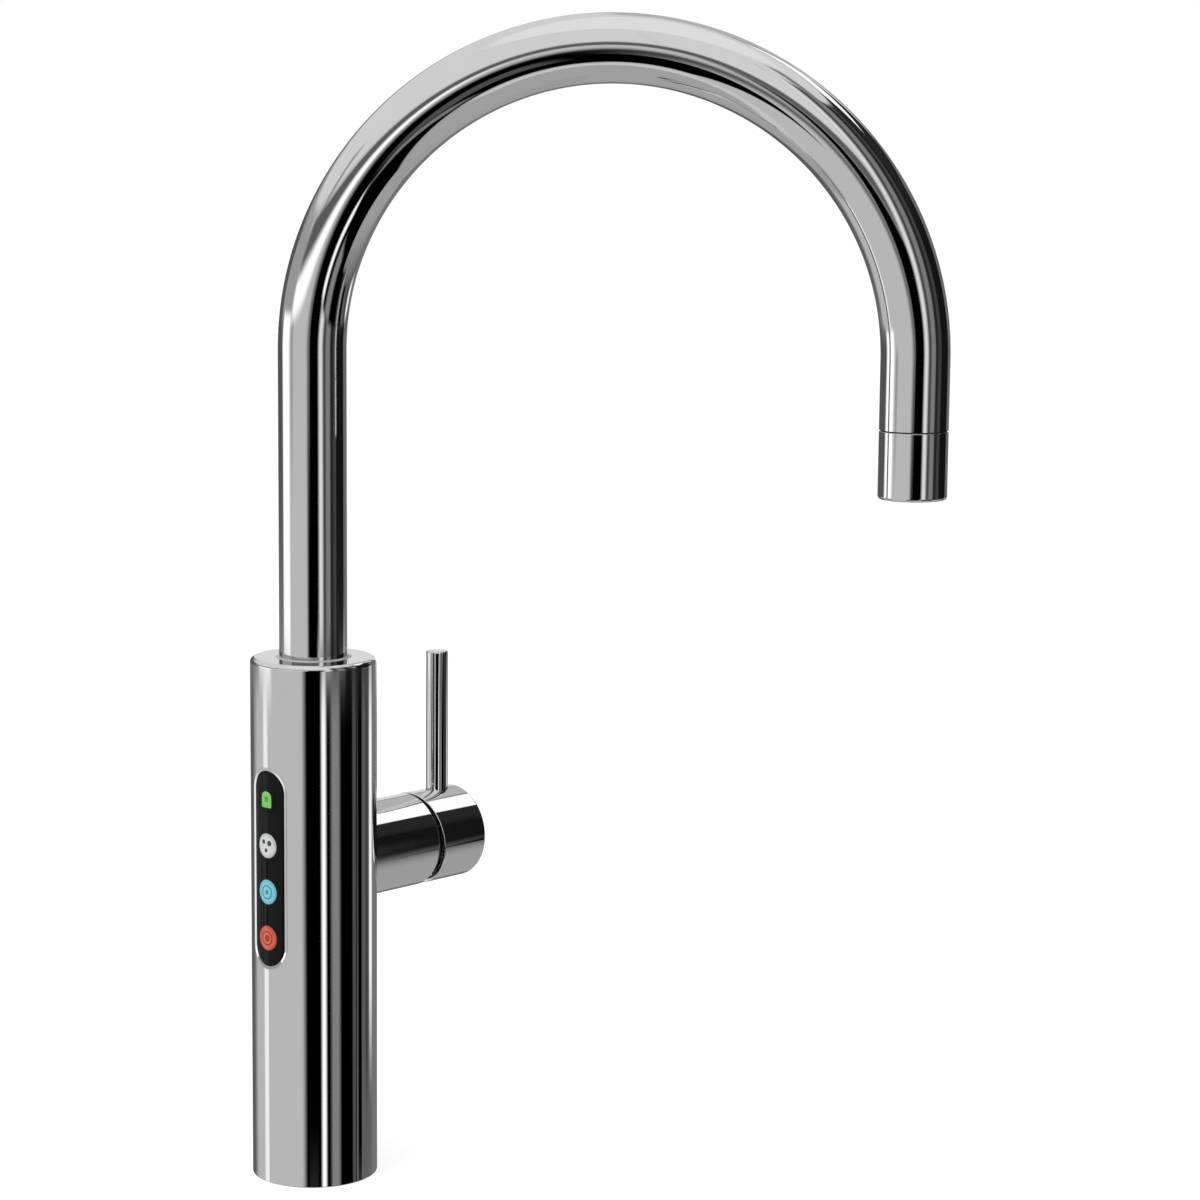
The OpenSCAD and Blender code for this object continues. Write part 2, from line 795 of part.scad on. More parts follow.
module lever_hub() {
    color(chrome) on_valve() difference() {
        rotate([0, 90, 0]) rotate_extrude() intersection() {
            hub_outline();
            square([valve_r, hub_end]);
        }
        inside_rim();
        rod_x(hub_ir, 0, hub_web);
        rod_x(spindle_r + snug, 0, spindle_end + snug);
        rod(pin_r + snug, pin_root, valve_d, [pin_s, 0]);
        rod(hub_screw_r + snug, -valve_d, 0, [hub_screw_s, 0]);
    }
}

module lever_pin() {
    length = pin_rise - pin_root;
    color(chrome) on_valve() translate([pin_s, 0, pin_root]) rotate_extrude()
        intersection() {
            union() {
                square([pin_r - pin_round, length]);
                square([pin_r, length - pin_round]);
                translate([pin_r - pin_round, length - pin_round]) circle(r = pin_round);
            }
            square([pin_r, length]);
        }
}

module hub_screw() {
    color(steel) on_valve()
        rod(hub_screw_r, -spindle_r - snug - hub_screw_l, -spindle_r - snug, [hub_screw_s, 0]);
}

// ---- swivel ----

module upper_bush() {
    color(white_plastic) ring(tube_r + run, upper_bush_r, upper_bush_z, column_h + bush_proud);
}

module lower_bush() {
    color(white_plastic) {
        ring(barrel_r + run, tube_r + play, collar_z - thrust_t, collar_z - snug);
        ring(barrel_r + run, lower_bush_r, collar_z - thrust_t - lower_bush_h, collar_z - thrust_t);
    }
}

module swivel_stop() {
    color(steel) translate([0, 0, stop_z]) rotate([0, 0, stop_az])
        rod_x(stop_r, stop_slot_r + play, column_r - stop_recess);
}

// The curved slot round the back of the collar, where the stop screw runs
module stop_slot() {
    half_turn = swivel_half + asin((stop_r + play) / stop_slot_r);
    slot_h = stop_d + 2 * play;
    translate([0, 0, stop_z - slot_h / 2]) rotate([0, 0, 180 - half_turn])
        rotate_extrude(angle = 2 * half_turn) translate([stop_slot_r, 0])
            square([tube_r, slot_h]);
}

// A water's bore up the spigot, with the seat that its tube pushes into
module spigot_bore(at, outer_d, from_z) {
    rod(outer_d / 2 - water_tube_wall, from_z, spigot_top_z + past, at);
    rod(outer_d / 2 + snug, spigot_top_z - tube_grip, spigot_top_z + past, at);
}

// The port between a water's bore and the groove round the barrel
module spigot_port(at, z) {
    rotate([0, 0, atan2(at[1], at[0])])
        rod_x(side_way_d / 2 - 0.5, norm(at), barrel_r + past, 0, z);
}

module spout_spigot() {
    color(brass) difference() {
        union() {
            rod(barrel_r, barrel_z, collar_z);
            rod(tube_r, collar_z, tube_z);
            rod(tube_ir - snug, tube_z, spigot_top_z);
        }
        for (i = [0:seal_count - 1]) {
            groove_z = barrel_z + land + i * seal_step;
            ring(ring_groove_r, barrel_r + past, groove_z, groove_z + ring_groove_h);
        }
        for (z = [filtered_channel_z, boiling_channel_z])
            ring(channel_r, barrel_r + past, z - channel_h / 2, z + channel_h / 2);
        stop_slot();
        spigot_bore(mixed_at, mixed_tube_d, barrel_z - past);
        spigot_bore(boiling_at, boiling_tube_d, boiling_channel_z);
        spigot_bore(filtered_at, filtered_tube_d, filtered_channel_z);
        spigot_port(boiling_at, boiling_channel_z);
        spigot_port(filtered_at, filtered_channel_z);
    }
}

module spigot_seals() {
    color(rubber) for (i = [0:seal_count - 1])
        translate([0, 0, barrel_z + land + ring_groove_h / 2 + i * seal_step])
            rotate_extrude() translate([ring_groove_r + ring_t / 2, 0]) circle(d = ring_t);
}

// ---- spout ----

module spout_tube() {
    color(chrome) difference() {
        gooseneck(tube_r, tube_z, tube_end_z);
        gooseneck(tube_ir, tube_z - past, tube_end_z - past);
    }
}

module water_tube(outer_d, at) {
    foot_z = spigot_top_z - tube_grip;
    end_z = neck_top_z + collector_h - tube_grip;
    difference() {
        gooseneck(outer_d / 2, foot_z, end_z, at);
        gooseneck(outer_d / 2 - water_tube_wall, foot_z - past, end_z - past, at);
    }
}

module mixed_tube() {
    color(white_plastic) water_tube(mixed_tube_d, mixed_at);
}

module boiling_tube() {
    color([0.75, 0.20, 0.14]) water_tube(boiling_tube_d, boiling_at);
}

module filtered_tube() {
    color([0.35, 0.62, 0.80]) water_tube(filtered_tube_d, filtered_at);
}

// A water's seat and bore in the collector over the outlet
module collector_bore(at, outer_d) {
    across = [-at[0], at[1]];
    rod(outer_d / 2 - water_tube_wall, neck_top_z - past, neck_top_z + collector_h + past, across);
    rod(outer_d / 2 + snug, neck_top_z + collector_h - tube_grip,
        neck_top_z + collector_h + past, across);
}

module tube_collector() {
    color(dark_plastic) translate([reach, 0, 0]) difference() {
        rod(tube_ir - snug, neck_top_z, neck_top_z + collector_h);
        collector_bore(mixed_at, mixed_tube_d);
        collector_bore(boiling_at, boiling_tube_d);
        collector_bore(filtered_at, filtered_tube_d);
    }
}

module outlet_sleeve() {
    color(chrome) translate([reach, 0, 0]) difference() {
        rotate_extrude() {
            translate([0, outlet_z + outlet_round])
                square([tube_r, outlet_sleeve_l - outlet_round]);
            translate([0, outlet_z]) square([tube_r - outlet_round, outlet_sleeve_l]);
            intersection() {
                translate([tube_r - outlet_round, outlet_z + outlet_round])
                    circle(r = outlet_round);
                square([tube_r, outlet_joint_z]);
            }
            translate([0, outlet_joint_z - past]) square([tube_ir - snug, neck_l + past]);
        }
        rod(aerator_r + snug, outlet_z - past, aerator_z + aerator_h);
        rod(neck_bore_r, outlet_z, neck_top_z + past);
    }
}

module outlet_seal() {
    color(rubber) translate([reach, 0, 0])
        ring(tube_ir, tube_r - outlet_seal_inset, outlet_joint_z, tube_end_z);
}

// The holes of the aerator's grid, in rows a third of a turn apart
module grid_holes(r, z0, z1) {
    rings = 2;
    for (row = [-rings:rings], col = [-rings:rings]) {
        at = [(col + row / 2) * grid_pitch, row * grid_pitch * sin(60)];
        if (norm(at) < (rings + 0.1) * grid_pitch) rod(r, z0, z1, at);
    }
}

module aerator_body() {
    grid_top_z = aerator_z + aerator_grid_t;
    color(dark_plastic) translate([reach, 0, 0]) difference() {
        rod(aerator_r, aerator_z, aerator_z + aerator_h);
        rod(aerator_r - aerator_wall, grid_top_z, aerator_z + aerator_h + past);
        grid_holes(grid_hole_d / 2, aerator_z - past, grid_top_z + past);
    }
}

module aerator_screen() {
    screen_z = aerator_z + screen_height;
    color(steel) translate([reach, 0, 0]) difference() {
        rod(aerator_r - aerator_wall - snug, screen_z, screen_z + screen_t);
        grid_holes(grid_hole_d / 3, screen_z - past, screen_z + past);
    }
}

// ---- key panel ----

module panel_trim() {
    color(chrome) on_panel() intersection() {
        difference() {
            stadium_x(panel_w, panel_h, 0, column_r + past);
            stadium_x(panel_w - 2 * trim_w, panel_h - 2 * trim_w, -past, column_r + 2 * past);
        }
        ring(shell_ir, column_r + trim_proud, 0, column_h);
    }
}

module panel_cover() {
    score_depth = 0.4;
    color(gloss_black) on_panel() difference() {
        union() {
            intersection() {
                stadium_x(cover_w, cover_h, 0, column_r + past);
                ring(cover_ir, column_r, 0, column_h);
            }
            intersection() {
                stadium_x(lap_w, lap_h, 0, column_r);
                ring(cover_ir, cover_r, 0, column_h);
            }
        }
        for (z = key_z) rod_x(key_r + 2 * snug, 0, column_r + past, 0, z);
        for (i = [1, 2])
            translate([column_r - score_depth, -score_w / 2, key_z[i + 1]])
                cube([2 * score_depth, score_w, key_pitch]);
    }
}

module key_mat() {
    color([0.30, 0.30, 0.32]) on_panel() difference() {
        translate([mat_x, -mat_w / 2, panel_z - mat_h / 2]) cube([mat_t, mat_w, mat_h]);
        at_board_screws() rod_x(board_screw_head_r + play, 0, column_r);
    }
}

module at_board_screws() {
    for (side = [-1, 1])
        translate([0, side * board_screw_y, panel_z + side * board_screw_z]) children();
}

module circuit_board() {
    color([0.05, 0.30, 0.16]) on_panel() difference() {
        translate([board_x, -board_w / 2, panel_z - board_h / 2])
            cube([board_t, board_w, board_h]);
        at_board_screws() rod_x(board_screw_r + snug, 0, column_r);
    }
}

module key_switches() {
    color(steel) on_panel() for (z = key_z)
        translate([board_x + board_t, -switch_w / 2, z - switch_w / 2])
            cube([switch_t, switch_w, switch_w]);
}

module key_lamps() {
    lamp = [0.6, 0.8, 1.6];
    color([0.95, 0.93, 0.80]) on_panel() for (z = key_z)
        translate([board_x + board_t, switch_w / 2 + 0.8, z - lamp[2] / 2]) cube(lamp);
}

module board_screws() {
    color(steel) on_panel() at_board_screws() {
        rod_x(board_screw_r - snug, board_x - board_screw_l, board_x + board_t);
        rod_x(board_screw_head_r, board_x + board_t, board_x + board_t + board_screw_head_h);
    }
}

// A key, with the pocket for its inlay taken out of its face
module key(z) {
    difference() {
        union() {
            intersection() {
                rod_x(key_r, key_flange_x, column_r + past, 0, z);
                rod(column_r + key_proud, 0, column_h);
            }
            rod_x(key_flange_r, key_flange_x, key_flange_x + key_flange_t, 0, z);
        }
        intersection() {
            translate([0, 0, z]) children();
            ring(column_r + key_proud - icon_t, column_r + past, 0, column_h);
        }
    }
}

// An inlay, flush with the key's face
module icon(z) {
    intersection() {
        translate([0, 0, z]) children();
        ring(column_r + key_proud - icon_t, column_r + key_proud, 0, column_h);
    }
}

// A glowing padlock: a block with a round top
module lock_shape() {
    w = 5.4;
    h = 6.4;
    rod_x(w / 2, 0, column_r + past, 0, h / 2 - w / 2);
    translate([0, -w / 2, -h / 2]) cube([column_r + past, w, h - w / 2]);
}

// Three bubbles
module sparkling_shape() {
    rod_x(0.9, 0, column_r + past, -1.7, 1.5);
    rod_x(1.1, 0, column_r + past, 1.5, 1.2);
    rod_x(0.8, 0, column_r + past, -0.3, -1.8);
}

// A ring round a dot
module ring_shape(r_out, r_in, r_dot) {
    difference() {
        rod_x(r_out, 0, column_r + past);
        rod_x(r_in, -past, column_r + 2 * past);
    }
    rod_x(r_dot, 0, column_r + past);
}

module chilled_shape() {
    ring_shape(2.9, 2.3, 1);
}

module boiling_shape() {
    ring_shape(3, 2.4, 1.4);
}

module lock_key() {
    color(gloss_black) on_panel() key(key_z[0]) lock_shape();
}

module sparkling_key() {
    color([0.88, 0.88, 0.88]) on_panel() key(key_z[1]) sparkling_shape();
}

module chilled_key() {
    color([0.40, 0.80, 0.90]) on_panel() key(key_z[2]) chilled_shape();
}

module boiling_key() {
    color([0.90, 0.25, 0.15]) on_panel() key(key_z[3]) boiling_shape();
}

module lock_icon() {
    color([0.40, 0.85, 0.30]) on_panel() icon(key_z[0]) lock_shape();
}

module sparkling_icon() {
    color([0.20, 0.20, 0.21]) on_panel() icon(key_z[1]) sparkling_shape();
}

module chilled_icon() {
    color([0.20, 0.58, 0.72]) on_panel() icon(key_z[2]) chilled_shape();
}

module boiling_icon() {
    color([0.66, 0.14, 0.10]) on_panel() icon(key_z[3]) boiling_shape();
}

column_shell();
foot_plate();
foot_gasket();
deck_shank();
rubber_washer();
steel_washer();
shank_nut();
valve_core();
core_screws();
cable_grommet();
housing_gasket();
cartridge_housing();
side_sleeve();
cartridge_body();
port_seals();
fixed_disc();
cartridge_nut();
cartridge_rotor();
pivot_pin();
moving_disc();
disc_carrier();
lever_spindle();
lever_hub();
lever_pin();
hub_screw();
upper_bush();
lower_bush();
swivel_stop();
spout_spigot();
spigot_seals();
spout_tube();
mixed_tube();
boiling_tube();
filtered_tube();
tube_collector();
outlet_sleeve();
outlet_seal();
aerator_body();
aerator_screen();
panel_trim();
panel_cover();
key_mat();
circuit_board();
key_switches();
key_lamps();
board_screws();
lock_key();
sparkling_key();
chilled_key();
boiling_key();
lock_icon();
sparkling_icon();
chilled_icon();
boiling_icon();
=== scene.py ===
"""A kitchen tap for boiling, chilled, sparkling and mixed water: its looks, over the CAD pieces."""

from math import hypot, pi, radians, sqrt

import bmesh
import bpy
from mathutils import Matrix


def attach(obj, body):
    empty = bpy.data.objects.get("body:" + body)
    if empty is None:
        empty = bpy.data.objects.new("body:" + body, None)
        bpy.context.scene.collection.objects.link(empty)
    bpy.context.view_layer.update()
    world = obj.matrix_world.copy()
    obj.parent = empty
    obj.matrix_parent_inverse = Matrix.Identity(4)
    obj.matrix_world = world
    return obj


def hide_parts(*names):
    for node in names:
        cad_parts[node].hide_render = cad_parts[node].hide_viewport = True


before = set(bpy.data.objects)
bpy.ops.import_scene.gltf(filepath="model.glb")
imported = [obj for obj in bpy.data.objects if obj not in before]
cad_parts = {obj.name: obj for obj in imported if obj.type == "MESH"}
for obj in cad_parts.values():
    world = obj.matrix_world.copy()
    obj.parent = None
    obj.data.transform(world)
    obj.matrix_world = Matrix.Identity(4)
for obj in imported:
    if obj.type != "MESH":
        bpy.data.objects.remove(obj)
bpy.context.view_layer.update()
scene = bpy.context.scene
scene.view_settings.view_transform = "Standard"


# ---- the camera ----
# The tap is seen from 1.3 m away, a little from the right and a little above the arch's crown,
# with a long lens that keeps the column and the tube upright.

lens = bpy.data.cameras.new("camera")
lens.lens = 97.76
lens.sensor_width = 36
camera = bpy.data.objects.new("camera", lens)
scene.collection.objects.link(camera)
camera.matrix_world = (
    Matrix.Translation((0.213247, -1.257322, 0.423614))
    @ Matrix.Rotation(radians(4.542), 4, "Z")
    @ Matrix.Rotation(radians(90 - 8.51), 4, "X")
    @ Matrix.Rotation(radians(0.561), 4, "Z")
)
scene.camera = camera


# ---- the studio ----
# A white room with black, grey and white boards stood round the tap, which is what chrome is
# photographed in: only shiny surfaces see the boards. The room lights the tap evenly.

BOARDS = [
    # left, right, low and high edge in degrees, the level that shows in the metal, and how soft
    # the upright and the level edges are; each board covers those that come before it here
    (-200, 200, 20, 91, 0.80, 3, 3),          # ceiling
    (-200, 200, -91, -50, 0.62, 3, 3),        # floor
    (-200, -60, -57, -45, 0.76, 3, 4),
    (-172, -90, -50, 60, 0.71, 3, 3),         # light wall on the left
    (-200, -90, 21, 60, 0.80, 3, 4),
    (-158, -149.5, -6, 30, 0.58, 4, 3),
    (-60, 60, -21, 60, 0.10, 3, 30),          # black wall on the right
    (10, 60, 24, 60, 0.16, 3, 16),
    (-60, 60, 50, 91, 0.80, 3, 3),
    (60, 90, -91, -30, 0.60, 5, 8),
    (-112, -15, -46, -20, 0.02, 2, 2),        # edge of the black table
    (-99, -58, -46, -2.3, 0.02, 12, 12),      # black flag in front
    (-90, -60, -10, 8, 0.02, 4, 3),
    (-165, -60, 9, 18, 0.35, 4, 3),
    (-165, -99, 0.5, 7, 1.00, 4, 3),
    (-90, -74, -32, -19.5, 0.30, 4, 4),
    (-72, -64, -42, -24, 0.45, 3, 4),
    (29.5, 67, 38, 49, 1.00, 2, 2),           # lit window, high on the right
    (67, 96, 14, 50, 0.68, 3, 3),
    (66.5, 71, 32, 50, 0.54, 3, 3),
    # what the upper part of the tap sees
    (-50, -19, -9.8, 50, 0.27, 5, 2),
    (-36.5, -21, -9.8, 60, 0.47, 8, 2),
    (-19, -9, -9.8, 50, 0.16, 4, 2),
    (-9, 3.5, -9.8, 50, 0.25, 5, 2),
    (43, 104, -9.8, 22, 0.40, 5, 2),
    (-60.5, -47.5, -9.8, 50, 0.84, 10, 2),    # strip lamp
    (104, 160, -9.8, 14, 0.32, 5, 8),
    (76, 104, -12, 7, 0.92, 4, 2),
    (76, 104, 7, 20, 0.82, 4, 2),
    (150, 200, 0, 16, 0.58, 8, 5),
    (-200, -160, 0, 16, 0.58, 12, 5),
    (163.5, 200, -9.8, 2, 1.02, 9, 2),        # white board
    (-200, -164.5, -9.8, 2, 1.02, 10, 2),
    # what the column sees
    (-60, 4, -22, -9.8, 0.02, 2, 2),
    (7.8, 17, -19, -9.8, 0.02, 2, 2),
    (-66.8, -59, -22, -9.8, 1.00, 6, 2),      # strip lamp
    (-48.8, -33, -22, -9.8, 0.49, 8, 2),
    (-5.5, 1.6, -22, -9.8, 0.31, 5, 2),
    (18.5, 39, -19, -9.8, 0.36, 5, 2),
    (27, 36, -17, -9.8, 0.26, 5, 2),
    (51, 104, -35, -9.8, 0.44, 5, 2),
    (40.5, 51, -16, -9.8, 0.97, 6, 3),
    (100, 150, -35, -9.8, 0.35, 5, 2),
    (144.5, 200, -35, -9.8, 0.70, 26, 2),
    (174.7, 200, -35, -9.8, 0.93, 7, 2),      # white board
    (-200, -173.7, -35, -9.8, 0.93, 6, 2),
    (-200, 200, 62, 91, 0.86, 3, 6),          # soft box overhead
]

BETWEEN_BOARDS = 0.36   # brightness of the room where no board stands
SCREEN_GAMMA, CHROME_GIVES = 2.2, 0.9   # from a level shown in the metal to the board's brightness

world = bpy.data.worlds.new("studio")
scene.world = world
world.use_nodes = True
room = world.node_tree
room.nodes.clear()


def value_node(tree, operation, *inputs):
    """A Math node in the tree, fed with numbers or sockets."""
    node = tree.nodes.new("ShaderNodeMath")
    node.operation = operation
    for socket, given in zip(node.inputs, inputs):
        if isinstance(given, (int, float)):
            socket.default_value = given
        else:
            tree.links.new(given, socket)
    return node.outputs[0]


def step_node(tree, value, low, high):
    """0 where the value is under low, 1 over high, and smooth between them."""
    node = tree.nodes.new("ShaderNodeMapRange")
    node.interpolation_type = "SMOOTHSTEP"
    tree.links.new(value, node.inputs["Value"])
    node.inputs["From Min"].default_value = low
    node.inputs["From Max"].default_value = high
    return node.outputs[0]


look = room.nodes.new("ShaderNodeTexCoord").outputs["Generated"]
parts = room.nodes.new("ShaderNodeSeparateXYZ")
room.links.new(look, parts.inputs[0])
turn = value_node(room, "ARCTAN2", parts.outputs["Y"], parts.outputs["X"])
turn = value_node(room, "MULTIPLY", turn, 180 / pi)
rise = value_node(room, "ARCSINE", parts.outputs["Z"])
rise = value_node(room, "MULTIPLY", rise, 180 / pi)
level = BETWEEN_BOARDS
for left, right, low, high, shown, soft, level_soft in BOARDS:
    inside = 1.0
    for value, start, end, blur in ((turn, left, right, soft), (rise, low, high, level_soft)):
        entered = step_node(room, value, start - blur / 2, start + blur / 2)
        passed = step_node(room, value, end - blur / 2, end + blur / 2)
        inside = value_node(room, "MULTIPLY", inside, entered)
        inside = value_node(room, "MULTIPLY", inside, value_node(room, "SUBTRACT", 1.0, passed))
    board = room.nodes.new("ShaderNodeMix")
    room.links.new(inside, board.inputs[0])
    if isinstance(level, float):
        board.inputs[2].default_value = level
    else:
        room.links.new(level, board.inputs[2])
    board.inputs[3].default_value = shown**SCREEN_GAMMA / CHROME_GIVES
    level = board.outputs[0]

rays = room.nodes.new("ShaderNodeLightPath")
seen = value_node(
    room, "MAXIMUM", rays.outputs["Is Camera Ray"], rays.outputs["Is Transmission Ray"]
)
boards_light = room.nodes.new("ShaderNodeBackground")   # what shiny surfaces see
boards_light.inputs["Color"].default_value = (1, 1, 1, 1)
room.links.new(level, boards_light.inputs["Strength"])
room_light = room.nodes.new("ShaderNodeBackground")   # what lights the matt surfaces
room_light.inputs["Color"].default_value = (1, 1, 1, 1)
room_light.inputs["Strength"].default_value = 0.8
backdrop = room.nodes.new("ShaderNodeBackground")   # what the camera sees
backdrop.inputs["Color"].default_value = (1, 1, 1, 1)
shiny = room.nodes.new("ShaderNodeMixShader")
room.links.new(rays.outputs["Is Glossy Ray"], shiny.inputs[0])
room.links.new(room_light.outputs[0], shiny.inputs[1])
room.links.new(boards_light.outputs[0], shiny.inputs[2])
white = room.nodes.new("ShaderNodeMixShader")
room.links.new(seen, white.inputs[0])
room.links.new(shiny.outputs[0], white.inputs[1])
room.links.new(backdrop.outputs[0], white.inputs[2])
room_out = room.nodes.new("ShaderNodeOutputWorld")
room.links.new(white.outputs[0], room_out.inputs["Surface"])

lamp_data = bpy.data.lights.new("soft_lamp", "AREA")
lamp_data.shape = "DISK"
lamp_data.size = 0.9
lamp_data.energy = 9
lamp = bpy.data.objects.new("soft_lamp", lamp_data)
scene.collection.objects.link(lamp)
lamp.matrix_world = (
    Matrix.Translation((-0.7, -0.9, 1.3)) @ Matrix.Rotation(radians(-38), 4, "Z")
    @ Matrix.Rotation(radians(42), 4, "X")
)
lamp.visible_glossy = False

# The table is white to the camera, keeps the tap's soft shadow, and stays out of the metal.
table = bmesh.new()
bmesh.ops.create_grid(table, x_segments=8, y_segments=8, size=6.0)
table_mesh = bpy.data.meshes.new("table_top")
table.to_mesh(table_mesh)
table.free()
table_top = bpy.data.objects.new("table_top", table_mesh)
scene.collection.objects.link(table_top)
table_paper = bpy.data.materials.new("table_paper")
table_paper.use_nodes = True
paper = table_paper.node_tree
paper.nodes.clear()
matt = paper.nodes.new("ShaderNodeBsdfDiffuse")
matt.inputs["Color"].default_value = (0.5, 0.5, 0.5, 1)
glow = paper.nodes.new("ShaderNodeEmission")
paper_rays = paper.nodes.new("ShaderNodeLightPath")
glow_level = value_node(paper, "MULTIPLY", paper_rays.outputs["Is Camera Ray"], 0.66)
paper.links.new(glow_level, glow.inputs["Strength"])
both = paper.nodes.new("ShaderNodeAddShader")
paper.links.new(matt.outputs[0], both.inputs[0])
paper.links.new(glow.outputs[0], both.inputs[1])
paper_out = paper.nodes.new("ShaderNodeOutputMaterial")
paper.links.new(both.outputs[0], paper_out.inputs["Surface"])
table_mesh.materials.append(table_paper)
table_top.visible_glossy = False


# ---- column shell ----
# A brass tube, 50 mm across with a thick rounded top, turned, polished and chrome plated.
# It slides down over the valve core and carries openings for the side valve, the key panel
# and the swivel's stop screw.

COLUMN_R, COLUMN_H, SHELL_IR = 25.0, 210.0, 23.0
TOP_UNDERSIDE, BUSH_HOLE_R = 207.0, 14.75
VALVE_TURN, PANEL_TURN, STOP_TURN = 52, -128, 142   # degrees from the spout's rest position
VALVE_Z, STOP_Z = 128.0, 185.0                      # the panel is centred at the valve's height
OPENING_W, OPENING_H = 19.1, 81.1                   # for the key panel
VALVE_HOLE_R, STOP_HOLE_R = 15.05, 2.05
INSIDE, OUTSIDE = 10, 30                            # from well inside the shell to past its outside


def lathe(outline, steps=192):
    """A turned solid about Z, in millimetres, from its points' radius, height and rounding."""
    solid = bmesh.new()
    points = [solid.verts.new((radius, 0, height)) for radius, height, _ in outline]
    edges = [solid.edges.new(pair) for pair in zip(points, points[1:])]
    if outline[0][0] > 0:
        edges.append(solid.edges.new((points[-1], points[0])))
    for point, (_, _, corner) in zip(points, outline):
        if corner:
            bmesh.ops.bevel(
                solid, geom=[point], offset=corner, offset_type="OFFSET", segments=6,
                profile=0.5, affect="VERTICES", material=-1,
            )
    bmesh.ops.spin(
        solid, geom=solid.verts[:] + solid.edges[:], cent=(0, 0, 0), axis=(0, 0, 1),
        angle=2 * pi, steps=steps, use_merge=True,
    )
    bmesh.ops.remove_doubles(solid, verts=solid.verts[:], dist=1e-4)
    bmesh.ops.recalc_face_normals(solid, faces=solid.faces[:])
    return solid


def place(solid, *moves):
    """Applies the moves to the whole solid, the last one first."""
    whole = Matrix.Identity(4)
    for move in moves:
        whole = whole @ move
    bmesh.ops.transform(solid, matrix=whole, verts=solid.verts[:])
    return solid


def shift(x=0, y=0, z=0):
    return Matrix.Translation((x, y, z))


def swing(angle, axis="Z"):
    return Matrix.Rotation(radians(angle), 4, axis)


def weld(solid):
    """Joins points that lie under 3 thousandths of a millimetre apart, and drops what collapses."""
    bmesh.ops.remove_doubles(solid, verts=solid.verts[:], dist=0.003)
    bmesh.ops.dissolve_degenerate(solid, edges=solid.edges[:], dist=0.0005)
    return solid


def cut(solid, tool, operation="DIFFERENCE"):
    """What is left of the solid once the tool is cut away, or what the two share."""
    halves = []
    for half in (solid, tool):
        mesh = bpy.data.meshes.new("blank")
        half.to_mesh(mesh)
        half.free()
        halves.append(bpy.data.objects.new("blank", mesh))
        scene.collection.objects.link(halves[-1])
    boolean = halves[0].modifiers.new("cut", "BOOLEAN")
    boolean.operation = operation
    boolean.solver = "EXACT"
    boolean.object = halves[1]
    left_over = bmesh.new()
    left_over.from_object(halves[0], bpy.context.evaluated_depsgraph_get())
    for half in halves:
        mesh = half.data
        bpy.data.objects.remove(half)
        bpy.data.meshes.remove(mesh)
    return weld(left_over)


def rod(radius, low, high, steps=96):
    """A round bar along Z."""
    return lathe([(0, low, 0), (radius, low, 0), (radius, high, 0), (0, high, 0)], steps)


def stadium(width, height, near, far, steps=20):
    """An upright bar with round ends, seen along X, from x = near to x = far."""
    solid = bmesh.new()
    corners = [(near, -width / 2, -height / 2), (near, width / 2, -height / 2),
               (near, width / 2, height / 2), (near, -width / 2, height / 2)]
    points = [solid.verts.new(corner) for corner in corners]
    solid.faces.new(points)
    bmesh.ops.bevel(
        solid, geom=points, offset=width / 2 - 0.001, offset_type="OFFSET", segments=steps,
        profile=0.5, affect="VERTICES", material=-1,
    )
    grown = bmesh.ops.extrude_face_region(solid, geom=solid.faces[:])["geom"]
    moved = [part for part in grown if isinstance(part, bmesh.types.BMVert)]
    bmesh.ops.translate(solid, verts=moved, vec=(far - near, 0, 0))
    weld(solid)
    bmesh.ops.recalc_face_normals(solid, faces=solid.faces[:])
    return solid


def finish(name, solid, material, body, nodes):
    """The finished piece in metres, smooth with crisp edges, riding its body for its nodes."""
    bmesh.ops.scale(solid, vec=(0.001, 0.001, 0.001), verts=solid.verts[:])
    mesh = bpy.data.meshes.new(name)
    solid.to_mesh(mesh)
    solid.free()
    mesh.shade_smooth()
    mesh.set_sharp_from_angle(angle=radians(30))
    mesh.materials.append(material)
    piece = bpy.data.objects.new(name, mesh)
    scene.collection.objects.link(piece)
    evened = piece.modifiers.new("even_shading", "WEIGHTED_NORMAL")
    evened.keep_sharp = True
    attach(piece, body)
    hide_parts(*nodes)
    return piece


